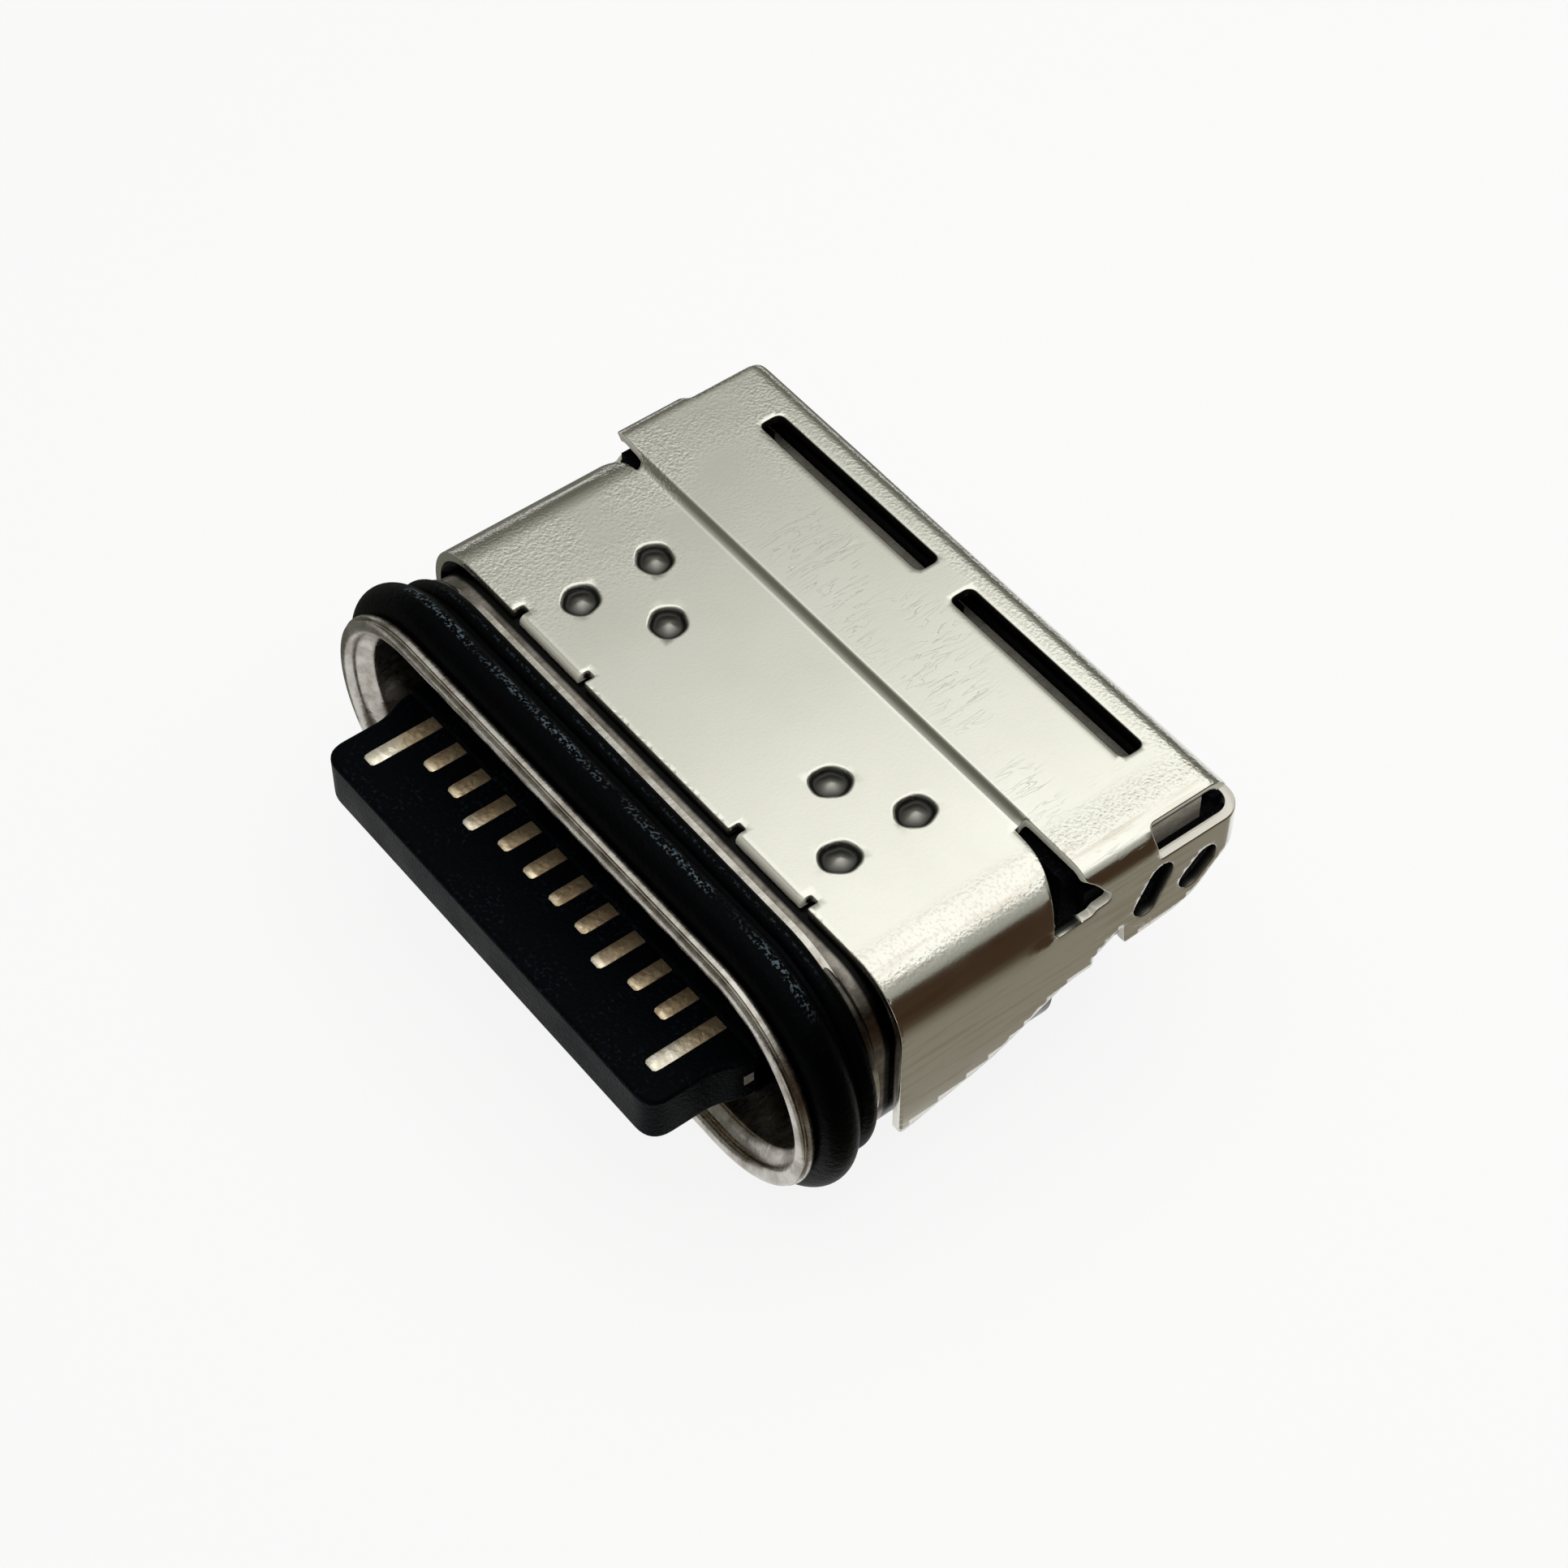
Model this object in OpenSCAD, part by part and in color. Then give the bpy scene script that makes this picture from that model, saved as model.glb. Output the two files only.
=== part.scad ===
// Waterproof 24-contact USB type C socket for the edge of a circuit board.
// Millimetres. X runs along the mouth, Y from the mouth to the rear, Z up from the board.
// The modules draw about the mouth: y = 0 is the lip, z = 0 is the middle of the tongue.
// place() then sets the finished piece on the board, centred over the origin.

/* [Mouth] */
// Width of the mouth's bore
mouth_w = 8.34; // [8:0.01:9]
// Height of the mouth's bore
mouth_h = 2.56; // [2.4:0.01:2.8]
// Wall of the drawn mouth shell
shell_t = 0.22; // [0.15:0.01:0.26]
// How far the lip flares out beyond the bore
lip_flare = 0.15; // [0.05:0.01:0.2]
// Length of the flared lead-in
lip_len = 0.30; // [0.2:0.01:0.4]
// Depth of the mouth cup, from the lip to its flange
cup_len = 1.06; // [1:0.01:1.2]
// Thickness of the flange behind the seal
flange_t = 0.12; // [0.08:0.01:0.16]
// How far the flange stands beyond the inner shell
flange_rim = 0.05; // [0.02:0.01:0.06]

/* [Tongue] */
// Width of the tongue at its root
tongue_w = 6.69; // [6.5:0.01:6.9]
// Width of the tongue at its tip
tip_w = 6.42; // [6.3:0.01:6.5]
// Thickness of the tongue
tongue_t = 0.70; // [0.64:0.01:0.76]
// How far the tongue stands out in front of the lip
tongue_out = 1.07; // [0.9:0.01:1.3]
// Where the moulding closes over the contacts, behind the lip
skin_front = 0.25; // [0.15:0.01:0.4]
// Thickness of the moulding that covers the contacts there
skin_t = 0.05; // [0.03:0.01:0.08]
// Corner radius of the tip, seen from above
tip_r = 0.30; // [0.1:0.01:0.45]
// Bevel along the tip's top and bottom edges
tip_bevel = 0.09; // [0.04:0.01:0.14]
// Thickness of the latch plate inside the tongue
plate_t = 0.15; // [0.1:0.01:0.2]

/* [Contacts] */
// Distance from one contact to the next
pitch = 0.50; // [0.5:0.01:0.52]
// Width of a contact
contact_w = 0.25; // [0.2:0.01:0.28]
// Thickness of a contact
contact_t = 0.12; // [0.1:0.01:0.14]
// Inside radius of a contact's bends
contact_bend = 0.12; // [0.06:0.01:0.18]
// How far a contact stands proud of the tongue
contact_proud = 0.012; // [0.005:0.001:0.03]
// Length of the ground contacts in front of the lip
ground_len = 0.75; // [0.6:0.01:0.85]
// Length of the power contacts in front of the lip
power_len = 0.40; // [0.3:0.01:0.55]
// Length of the signal contacts in front of the lip
signal_len = 0.26; // [0.15:0.01:0.4]
// Length of a solder tail on the board
tail_len = 0.55; // [0.3:0.01:0.6]

/* [Seal] */
// How far the front ridge stands off the mouth shell
seal_rise = 0.37; // [0.3:0.01:0.4]
// How much lower the rear ridge is
ridge_drop = 0.17; // [0.1:0.01:0.2]
// Radius of the front ridge's crown
front_ridge_r = 0.27; // [0.2:0.01:0.28]
// Radius of the rear ridge's crown
rear_ridge_r = 0.13; // [0.1:0.01:0.14]
// Thickness of the seal's web between the ridges
seal_web = 0.14; // [0.08:0.01:0.18]

/* [Inner shell] */
// Half width of the inner shell
inner_hw = 4.28; // [4.2:0.01:4.35]
// Half height of the inner shell
inner_hh = 1.34; // [1.3:0.01:1.4]
// Corner radius of the inner shell
inner_r = 0.90; // [0.7:0.01:1.1]
// Wall of the inner shell
inner_t = 0.12; // [0.08:0.01:0.15]
// Rear end of the inner shell, behind the lip
inner_end = 3.80; // [3.7:0.01:3.9]

/* [Cover] */
// Sheet thickness of the cover
cover_t = 0.12; // [0.1:0.01:0.15]
// Gap between the cover's sides and the inner shell
cover_gap = 0.06; // [0.03:0.01:0.1]
// Gap between the cover's top and the inner shell
top_gap = 0.03; // [0.02:0.01:0.06]
// Outside radius of the cover's long bends
bend_r = 0.80; // [0.5:0.01:0.95]
// Front edge of the cover, behind the lip
cover_front = 1.42; // [1.4:0.01:1.6]
// Front of the rise to the rear plate
step_y = 4.00; // [3.96:0.01:4.06]
// Height of the rise to the rear plate
step_h = 0.12; // [0.08:0.01:0.16]
// Rear face of the cover
rear_y = 6.28; // [6.2:0.01:6.6]
// Outside radius of the bends round the rear plate
rear_r = 0.32; // [0.2:0.01:0.4]
// Distance of a corner window's front edge from the rear face
window_len = 1.22; // [1:0.01:1.4]
// Width of a corner window, in from the cover's side
window_w = 0.22; // [0.16:0.01:0.3]
// Bottom of the rear wall above the tongue's middle
rear_wall_z = 0.35; // [0.2:0.01:0.6]
// Length of a slot in the rear plate
slot_len = 3.04; // [2.6:0.01:3.2]
// Width of a slot in the rear plate
slot_w = 0.29; // [0.2:0.01:0.34]
// Distance between the two slots
slot_gap = 0.58; // [0.4:0.01:0.8]
// Distance from a slot to the rear face
slot_back = 0.50; // [0.42:0.01:0.6]
// Radius of a slot's corners
slot_r = 0.09; // [0.05:0.01:0.1]

/* [Cover details] */
// Width of a bent contact tab on the front edge
tab_w = 1.26; // [0.9:0.01:1.5]
// Distance of a tab's middle from the centre
tab_x = 2.07; // [1.8:0.01:2.3]
// Width of the relief notch beside a tab
notch_w = 0.09; // [0.06:0.01:0.12]
// Diameter of a weld dimple
weld_d = 0.54; // [0.4:0.01:0.6]
// Depth of a weld dimple
weld_depth = 0.045; // [0.03:0.005:0.06]

/* [Board side] */
// Height of the tongue's middle above the board
board_h = 1.90; // [1.88:0.01:2]
// Thickness of the bottom plate
bottom_t = 0.12; // [0.08:0.01:0.15]
// Half width of the bottom plate
bottom_hw = 3.00; // [2.6:0.01:3.1]
// Width of a solder foot on the bottom plate
foot_w = 0.55; // [0.4:0.01:0.7]
// Length of a solder foot on the board
foot_len = 0.34; // [0.2:0.01:0.36]
// Distance of the front feet behind the lip
foot_front = 1.90; // [1.7:0.01:2.2]
// Distance from the front feet to the rear feet
foot_spacing = 1.30; // [0.8:0.01:1.4]

/* [Hidden] */
$fn = 48;

eps = 0.01;
far = 20;
contact_count = 12;

// Mouth: every stadium shares the same core line
bore_r = mouth_h / 2;
core = (mouth_w - mouth_h) / 2;
cup_r = bore_r + shell_t;
flange_back = cup_len + flange_t;

// Seal, squeezed between the lip and the flange
seal_front = shell_t;
seal_back = cup_len;
front_ridge_y = seal_front + front_ridge_r;
rear_ridge_y = seal_back - rear_ridge_r;

// Cover, worked out from the inner shell that it is welded to
cover_in = inner_hw + cover_gap;
cover_hw = cover_in + cover_t;
cover_top = inner_hh + top_gap + cover_t;
plate_top = cover_top + step_h;
plate_front = step_y + 0.09;
plate_lug_y = step_y + 0.05;
window_front = rear_y - window_len;
window_x = cover_hw - window_w;
rear_wall_hw = cover_hw - 0.60;

// Side arms, which turn the rear corners and lap over the rear wall
arm_r = 0.34;
arm_top = plate_top - rear_r - 0.11;
arm_back = rear_y + cover_t;
arm_lap = 0.46;

// Relief slit between the front part's bend and the rear plate, longer on the right
relief_left = cover_hw - 0.62;
relief_right = cover_hw - 1.14;
relief_y = step_y - 0.08;
relief_sweep = 0.34;
relief_low = 0.94;

// Rear edge of the slit at each fold, from the arm up to the plate: [distance behind the lip, height]
fold_edge = [
    [step_y + 0.12, relief_low], [step_y + 0.17, relief_low + 0.06], [step_y + 0.37, relief_low + 0.08],
    [step_y + 0.38, relief_low + 0.18], [step_y + 0.29, relief_low + 0.28], [step_y + 0.17, relief_low + 0.47],
    [plate_lug_y, relief_low + 0.56]];

// Lower edge of the cover's sides: [distance behind the lip, height], from front to rear
heel_y = rear_y - 1.36;
wall_edge = [
    [cover_front, -0.92], [step_y - 1.20, -0.58], [step_y - 0.20, -0.06], [heel_y, 0],
    [rear_y - 0.86, 0.06], [rear_y - 0.56, 0.18], [rear_y - 0.20, 0.58], [arm_back - 0.04, 0.80],
    [arm_back, 0.90]];

// Open notch in that edge: [distance in front of the heel, height]
heel_notch = [[0.72, -1], [0.72, 0.10], [0.30, 0.36], [0.26, -1]];

// Leaning windows in a side arm: [distance from the rear face, height, lean, length, width]
side_windows = [[1.24, 0.68, 28, 0.76, 0.22], [0.57, 0.59, 46, 0.60, 0.21]];

// Tongue and the moulded parts behind it
half_t = tongue_t / 2;
root_y = 1.26;
step_root_y = 0.76;
root_hh = 0.62;
root_side = 0.15;
ground_t = 0.08;
ground_bump_x = 2.2;
carrier_y = 1.60;
carrier_end = 4.30;
carrier_hw = 3.10;
carrier_hh = 0.66;
potting_y = 3.60;
bracket_t = 0.10;
bracket_gap = 0.14;
block_y = step_y - 0.06;
block_back = rear_y - 0.58;
block_hw = cover_in - bracket_gap - bracket_t;
block_top = inner_hh;
block_low_hw = 3.16;
block_ledge = 0.45;
block_bottom = 0.05 - board_h;
channel_clear = 0.02;
bracket_hw = block_hw + bracket_t;
bracket_back = rear_y - 0.38;
bracket_front = step_y + 0.30;
bracket_low = 0.50;
bracket_lip = 0.25;

// Contacts
upper_z = half_t + contact_proud - contact_t;
upper_leg_y = block_back - 0.34;
lower_leg_y = upper_leg_y - 0.84;
ground_ends = [1, 12];
power_ends = [4, 9];

// Whole part
centre_y = (arm_back - tongue_out) / 2;

function contact_x(n) = (n - (contact_count + 1) / 2) * pitch;
function reach(n) =
    len(search(n, ground_ends)) > 0 ? ground_len :
    len(search(n, power_ends)) > 0 ? power_len : signal_len;

// Sets a piece on the board with the whole socket centred over the origin
module place() {
    translate([0, -centre_y, board_h]) children();
}

// Extrudes an outline drawn in X and Z from y0 to y1
module along_y(y0, y1) {
    translate([0, y1, 0]) rotate([90, 0, 0]) linear_extrude(y1 - y0) children();
}

// Extrudes an outline drawn in Y and Z across the width, centred on x
module across_x(width, x = 0) {
    translate([x - width / 2, 0, 0]) rotate([90, 0, 90]) linear_extrude(width) children();
}

// Outline of a stadium whose ends lie on the mouth's core line
module stadium(r) {
    square([2 * core, 2 * r], center = true);
    for (s = [-1, 1]) translate([s * core, 0]) circle(r);
}

// Rectangle with four round corners
module round_rect(hw, hh, r) {
    square([2 * (hw - r), 2 * hh], center = true);
    square([2 * hw, 2 * (hh - r)], center = true);
    for (sx = [-1, 1], sz = [-1, 1]) translate([sx * (hw - r), sz * (hh - r)]) circle(r);
}

// Slot outline with round ends, standing along its second axis
module oblong(length, width) {
    square([width, length - width], center = true);
    for (s = [-1, 1]) translate([0, s * (length - width) / 2]) circle(width / 2);
}

// Carries a profile of distance from the core line and depth round the mouth
module round_the_mouth() {
    for (s = [-1, 1])
        translate([s * core, 0, 0]) rotate([-90, -s * 90, 0])
            rotate_extrude(angle = 180) children();
    translate([core, 0, 0]) rotate([0, -90, 0]) linear_extrude(2 * core) children();
    translate([-core, 0, 0]) rotate([0, 90, 0]) linear_extrude(2 * core) children();
}

// Half section through the mouth cup: flared lip, bore and outer wall
module cup_profile() {
    lip_r = bore_r + lip_flare;
    polygon([
        [lip_r, shell_t / 2], [bore_r, lip_len], [bore_r, cup_len], [cup_r, cup_len],
        [cup_r, seal_front], [lip_r + shell_t, shell_t / 2]]);
    translate([lip_r + shell_t / 2, shell_t / 2]) circle(shell_t / 2);
}

module mouth_shell() {
    color("silver") place() {
        round_the_mouth() cup_profile();
        along_y(cup_len, flange_back) difference() {
            round_rect(inner_hw + flange_rim, inner_hh + flange_rim, inner_r);
            stadium(bore_r);
        }
    }
}

// Half section of one round ridge, which stands off the mouth shell by rise
module ridge(y, rise, r) {
    crown = rise - r;
    translate([cup_r, y - r]) square([crown, 2 * r]);
    translate([cup_r + crown, y]) intersection() {
        circle(r);
        translate([-crown, -r]) square([crown + r, 2 * r]);
    }
}

// A wide front ridge and a lower, narrow rear ridge on a thin web
module seal_profile() {
    translate([cup_r, seal_front]) square([seal_web, seal_back - seal_front]);
    ridge(front_ridge_y, seal_rise, front_ridge_r);
    ridge(rear_ridge_y, seal_rise - ridge_drop, rear_ridge_r);
}

module seal_ring() {
    color([0.06, 0.06, 0.07]) place() round_the_mouth() seal_profile();
}

module inner_shell() {
    color("silver") place() along_y(flange_back, inner_end) difference() {
        round_rect(inner_hw, inner_hh, inner_r);
        round_rect(inner_hw - inner_t, inner_hh - inner_t, inner_r - inner_t);
    }
}

// Section of a folded sheet: flat top, two round bends and open underneath
module folded_section(hw, top, r, t) {
    difference() {
        arch(hw, top, r);
        arch(hw - t, top - t, r - t);
    }
}

module arch(hw, top, r) {
    translate([-hw, -inner_hh]) square([2 * hw, top - r + inner_hh]);
    translate([-(hw - r), 0]) square([2 * (hw - r), top]);
    for (s = [-1, 1]) translate([s * (hw - r), top - r]) circle(r);
}

// Side view of the space below the cover's walls, which rise to the rear
module below_walls() {
    rear = wall_edge[len(wall_edge) - 1];
    polygon(concat(
        [[0, -far], [0, wall_edge[0][1]]], wall_edge, [[far, rear[1]], [far, -far]]));
}

// Front part of the cover, folded over the inner shell
module cover_front_part() {
    difference() {
        along_y(cover_front, step_y) folded_section(cover_hw, cover_top, bend_r, cover_t);
        across_x(far) below_walls();
        scale_side(1) corner_relief(relief_right);
        scale_side(-1) corner_relief(relief_left);
        for (s = [-1, 1]) translate([s * tab_x, cover_front, cover_top]) tab_opening();
        for (spot = weld_spots()) translate([spot[0], spot[1], cover_top])
            translate([0, 0, weld_d]) rotate([180, 0, 0])
                cylinder(h = weld_depth + weld_d, d = weld_d);
    }
    for (s = [-1, 1]) translate([s * tab_x, cover_front, cover_top]) bent_tab();
    for (spot = weld_spots()) translate([spot[0], spot[1], inner_hh])
        cylinder(h = cover_top - weld_depth - cover_t / 2 - inner_hh + eps, d = weld_d);
}

module scale_side(s) {
    mirror([s < 0 ? 1 : 0, 0, 0]) children();
}

// Front edge of the slit that frees the front part's bend: u runs from its inner end to the wall
function relief_edge(u, inner) =
    [inner + u * (cover_hw - inner), relief_y - relief_sweep * pow(u, 2.2)];

module corner_relief(inner) {
    translate([0, 0, relief_low]) linear_extrude(far) polygon(concat(
        [for (i = [0:8]) relief_edge(i / 8, inner)],
        [[far, relief_y - relief_sweep], [far, far], [inner, far]]));
}

function weld_spots() =
    [for (s = [-1, 1], p = [[2.43, 2.15], [2.43, 3.22], [1.52, 2.74]]) [s * p[0], p[1]]];

// Space cut in the front edge for a tab and its relief notches
module tab_opening() {
    translate([-tab_w / 2, -eps, -far / 2]) cube([tab_w, 0.10, far]);
    for (s = [-1, 1])
        translate([s * tab_w / 2, 0, -far / 2]) translate([-notch_w / 2, -eps, 0])
            cube([notch_w, 0.13, far]);
}

// Tab bent down from the front edge until it bears on the inner shell
module bent_tab() {
    drop = top_gap + cover_t;
    width = tab_w - notch_w;
    across_x(width) {
        polygon([[0.14, -cover_t], [0.14, 0], [0.06, -0.02], [0.0, -0.08], [0.0, -drop],
                 [0.09, -drop], [0.09, -cover_t]]);
    }
}

// Quarter of a ring, the side view of a right-angled bend about the origin
module quarter_bend(outer, t) {
    intersection() {
        difference() {
            circle(outer);
            circle(outer - t);
        }
        square(outer);
    }
}

// Side view of the rise, the rear plate and the rear wall as one folded sheet
module rear_sheet() {
    top = plate_top;
    half = cover_t / 2;
    polygon([
        [step_y - 0.1, cover_top - cover_t], [step_y - 0.1, cover_top], [step_y, cover_top],
        [plate_front, top], [rear_y - rear_r, top], [rear_y - rear_r, top - cover_t],
        [plate_front + half, top - cover_t], [step_y + half, cover_top - cover_t]]);
    translate([rear_y - rear_r, top - rear_r]) quarter_bend(rear_r, cover_t);
    translate([rear_y - cover_t, rear_wall_z]) square([cover_t, top - rear_r - rear_wall_z]);
}

// Rear part of the cover: the raised plate, its side folds and the rear wall
module cover_rear_part() {
    difference() {
        union() {
            across_x(2 * window_x) rear_sheet();
            along_y(plate_lug_y, window_front)
                folded_section(cover_hw, plate_top, rear_r, cover_t);
        }
        across_x(far) below_walls();
        across_x(relief_left + relief_right, (relief_right - relief_left) / 2) above_riser();
        scale_side(1) fold_notch(relief_right);
        scale_side(-1) fold_notch(relief_left);
        for (s = [-1, 1]) scale_side(s)
            translate([rear_wall_hw, rear_y - rear_r, arm_top + 0.05 - far]) cube(far);
        for (s = [-1, 1])
            translate([s * (slot_gap + slot_len) / 2, rear_y - slot_back - slot_w / 2, 0])
                linear_extrude(far) round_rect(slot_len / 2, slot_w / 2, slot_r);
    }
}

// Side view of the space in front of the raised plate
module above_riser() {
    polygon([
        [0, cover_top], [step_y, cover_top], [plate_front, plate_top], [plate_front, far],
        [0, far]]);
}

// Space in front of the plate's lug and its fold, from the inner end of the slit outwards
module fold_notch(inner) {
    translate([inner, 0, 0]) rotate([90, 0, 90]) linear_extrude(far) polygon(concat(
        [[0, relief_low]], fold_edge, [[plate_lug_y, far], [0, far]]));
}

// Plan of one side arm, which turns the rear corner and laps over the rear wall
module arm_plan() {
    front = relief_y - relief_sweep - 0.1;
    translate([cover_in, front]) square([cover_t, arm_back - arm_r - front]);
    translate([cover_hw - arm_r, arm_back - arm_r]) quarter_bend(arm_r, cover_t);
    translate([rear_wall_hw - arm_lap, rear_y]) square([cover_hw - arm_r - rear_wall_hw + arm_lap, cover_t]);
}

// Side arm with its two leaning windows and the open notch in its lower edge
module side_arm() {
    difference() {
        translate([0, 0, -1]) linear_extrude(1 + arm_top) arm_plan();
        across_x(far) below_walls();
        fold_notch(cover_in - eps);
        for (w = side_windows)
            translate([cover_hw, rear_y - w[0], w[1]]) rotate([-w[2], 0, 0])
                rotate([0, 90, 0]) rotate(90)
                    linear_extrude(1, center = true) oblong(w[3], w[4]);
        across_x(far) polygon([for (point = heel_notch) [heel_y - point[0], point[1]]]);
    }
}

module top_cover() {
    color([0.80, 0.80, 0.76]) place() {
        cover_front_part();
        cover_rear_part();
        for (s = [-1, 1]) scale_side(s) side_arm();
    }
}

// Stamped frame round the moulded block, seen through the corner windows
module rear_bracket() {
    side_len = bracket_back - bracket_front;
    color([0.66, 0.65, 0.62]) place() {
        for (s = [-1, 1]) scale_side(s) {
            translate([block_hw, bracket_front, bracket_low])
                cube([bracket_t, side_len, block_top + bracket_t - bracket_low]);
            translate([block_hw - bracket_lip, window_front - 0.1, block_top])
                cube([bracket_lip + eps, bracket_back - window_front + 0.1, bracket_t]);
        }
        translate([-bracket_hw, bracket_back - bracket_t, bracket_low])
            cube([2 * bracket_hw, bracket_t, 0.55]);
    }
}

// Bottom plate welded under the inner shell, with four feet soldered to the board
module bottom_plate() {
    top = -inner_hh;
    foot_drop = board_h - inner_hh;
    color("silver") place() {
        translate([-bottom_hw, cover_front + 0.1, top - bottom_t])
            cube([2 * bottom_hw, inner_end - cover_front - 0.1, bottom_t]);
        for (s = [-1, 1], y = [foot_front, foot_front + foot_spacing]) scale_side(s) {
            translate([bottom_hw - bottom_t, y, top - foot_drop])
                cube([bottom_t, foot_w, foot_drop - bottom_t / 2]);
            translate([bottom_hw - bottom_t, y, top - foot_drop])
                cube([foot_len + bottom_t, foot_w, bottom_t]);
        }
    }
}

// Path of a contact in side view: blade, bend, leg, bend and solder tail
module contact_path(front, blade_z, leg_y) {
    foot_z = -board_h;
    r = contact_bend;
    t = contact_t;
    translate([front, blade_z]) square([leg_y - r - front, t]);
    translate([leg_y - r, blade_z - r]) quarter_bend(r + t, t);
    translate([leg_y, foot_z + t + r]) square([t, blade_z - r - foot_z - t - r]);
    translate([leg_y + t + r, foot_z + t + r]) rotate(180) quarter_bend(r + t, t);
    translate([leg_y + t + r, foot_z]) square([tail_len, t]);
}

// Contact of the upper row, n counted from the left of the tongue
module upper_contact(n, width = contact_w) {
    across_x(width, contact_x(n)) contact_path(-reach(n), upper_z, upper_leg_y);
}

// Contact of the lower row, with its blade on the underside of the tongue
module lower_contact(n, width = contact_w) {
    across_x(width, contact_x(n)) contact_path(-reach(n), -upper_z - contact_t, lower_leg_y);
}

module contact_a(n) {
    color([0.85, 0.68, 0.36]) place() upper_contact(n);
}

module contact_b(n) {
    color([0.85, 0.68, 0.36]) place() lower_contact(n);
}

// Straight channels in the mouldings, filled by the blades of both rows
module contact_channels() {
    for (n = [1:contact_count], z = [upper_z, -upper_z - contact_t])
        translate([contact_x(n) - contact_w / 2, -reach(n), z])
            cube([contact_w, carrier_end + reach(n), contact_t]);
}

// Plan of the tongue with its narrower, round-cornered tip
module tongue_plan() {
    nose = -tongue_out;
    translate([-tip_w / 2, nose + tip_r]) square([tip_w, root_y - nose - tip_r]);
    translate([tip_r - tip_w / 2, nose]) square([tip_w - 2 * tip_r, 2 * tip_r]);
    for (s = [-1, 1]) translate([s * (tip_w / 2 - tip_r), nose + tip_r]) circle(tip_r);
    polygon([
        [-tip_w / 2, -0.2], [tip_w / 2, -0.2], [tongue_w / 2, 0.1], [tongue_w / 2, root_y],
        [-tongue_w / 2, root_y], [-tongue_w / 2, 0.1]]);
}

// Side view of the tongue with its bevelled nose
module tongue_side() {
    nose = -tongue_out;
    polygon([
        [nose, -half_t + tip_bevel], [nose + tip_bevel, -half_t], [root_y + eps, -half_t],
        [root_y + eps, half_t], [nose + tip_bevel, half_t], [nose, half_t - tip_bevel]]);
}

module latch_plate_shape() {
    translate([-tip_w / 2 + 0.25, -tongue_out + 0.25, -plate_t / 2])
        cube([tip_w - 0.5, carrier_end + tongue_out - 0.25, plate_t]);
    translate([-tongue_w / 2, 0.12, -plate_t / 2]) cube([tongue_w, 0.42, plate_t]);
}

module latch_plate() {
    color([0.62, 0.61, 0.58]) place() latch_plate_shape();
}

// Room taken by a contact carrier, above the latch plate for s = 1 and below for s = -1
module carrier_shape(s) {
    z0 = s > 0 ? plate_t / 2 : -carrier_hh;
    translate([-carrier_hw, carrier_y, z0])
        cube([2 * carrier_hw, carrier_end - carrier_y, carrier_hh - plate_t / 2]);
}

module upper_carrier() {
    color([0.10, 0.10, 0.11]) place() difference() {
        carrier_shape(1);
        contact_channels();
    }
}

module lower_carrier() {
    color([0.10, 0.10, 0.11]) place() difference() {
        carrier_shape(-1);
        contact_channels();
    }
}

// Overmoulded tongue, the skin that closes over its contacts, its thick root step and the plug
// that fills the inner shell
module tongue_body() {
    color([0.05, 0.05, 0.06]) place() difference() {
        union() {
            intersection() {
                translate([0, 0, -half_t]) linear_extrude(tongue_t) tongue_plan();
                across_x(tongue_w) tongue_side();
            }
            translate([-tongue_w / 2, skin_front, -half_t - skin_t])
                cube([tongue_w, root_y - skin_front, tongue_t + 2 * skin_t]);
            translate([-tongue_w / 2 - root_side, step_root_y, -root_hh])
                cube([tongue_w + 2 * root_side, root_y - step_root_y, 2 * root_hh]);
            along_y(root_y, potting_y)
                round_rect(inner_hw - inner_t, inner_hh - inner_t, inner_r - inner_t);
        }
        latch_plate_shape();
        carrier_shape(1);
        carrier_shape(-1);
        contact_channels();
    }
}

// Grounding plate on the root step, with two raised contact bumps
module ground_plate(s) {
    color("silver") place() scale([1, 1, s]) {
        translate([-tongue_w / 2, step_root_y + 0.02, root_hh])
            cube([tongue_w, root_y - step_root_y - 0.02, ground_t]);
        for (s = [-1, 1])
            translate([s * ground_bump_x, (step_root_y + root_y) / 2, root_hh + ground_t / 2])
                scale([2.4, 1, 1]) cylinder(h = ground_t, d1 = 0.32, d2 = 0.2);
    }
}

module upper_ground_plate() {
    ground_plate(1);
}

module lower_ground_plate() {
    ground_plate(-1);
}

// Layer of sealant that closes the inner shell behind the overmoulding
module potting_seal() {
    color([0.16, 0.15, 0.14]) place() difference() {
        along_y(potting_y, inner_end)
            round_rect(inner_hw - inner_t, inner_hh - inner_t, inner_r - inner_t);
        latch_plate_shape();
        carrier_shape(1);
        carrier_shape(-1);
    }
}

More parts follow.
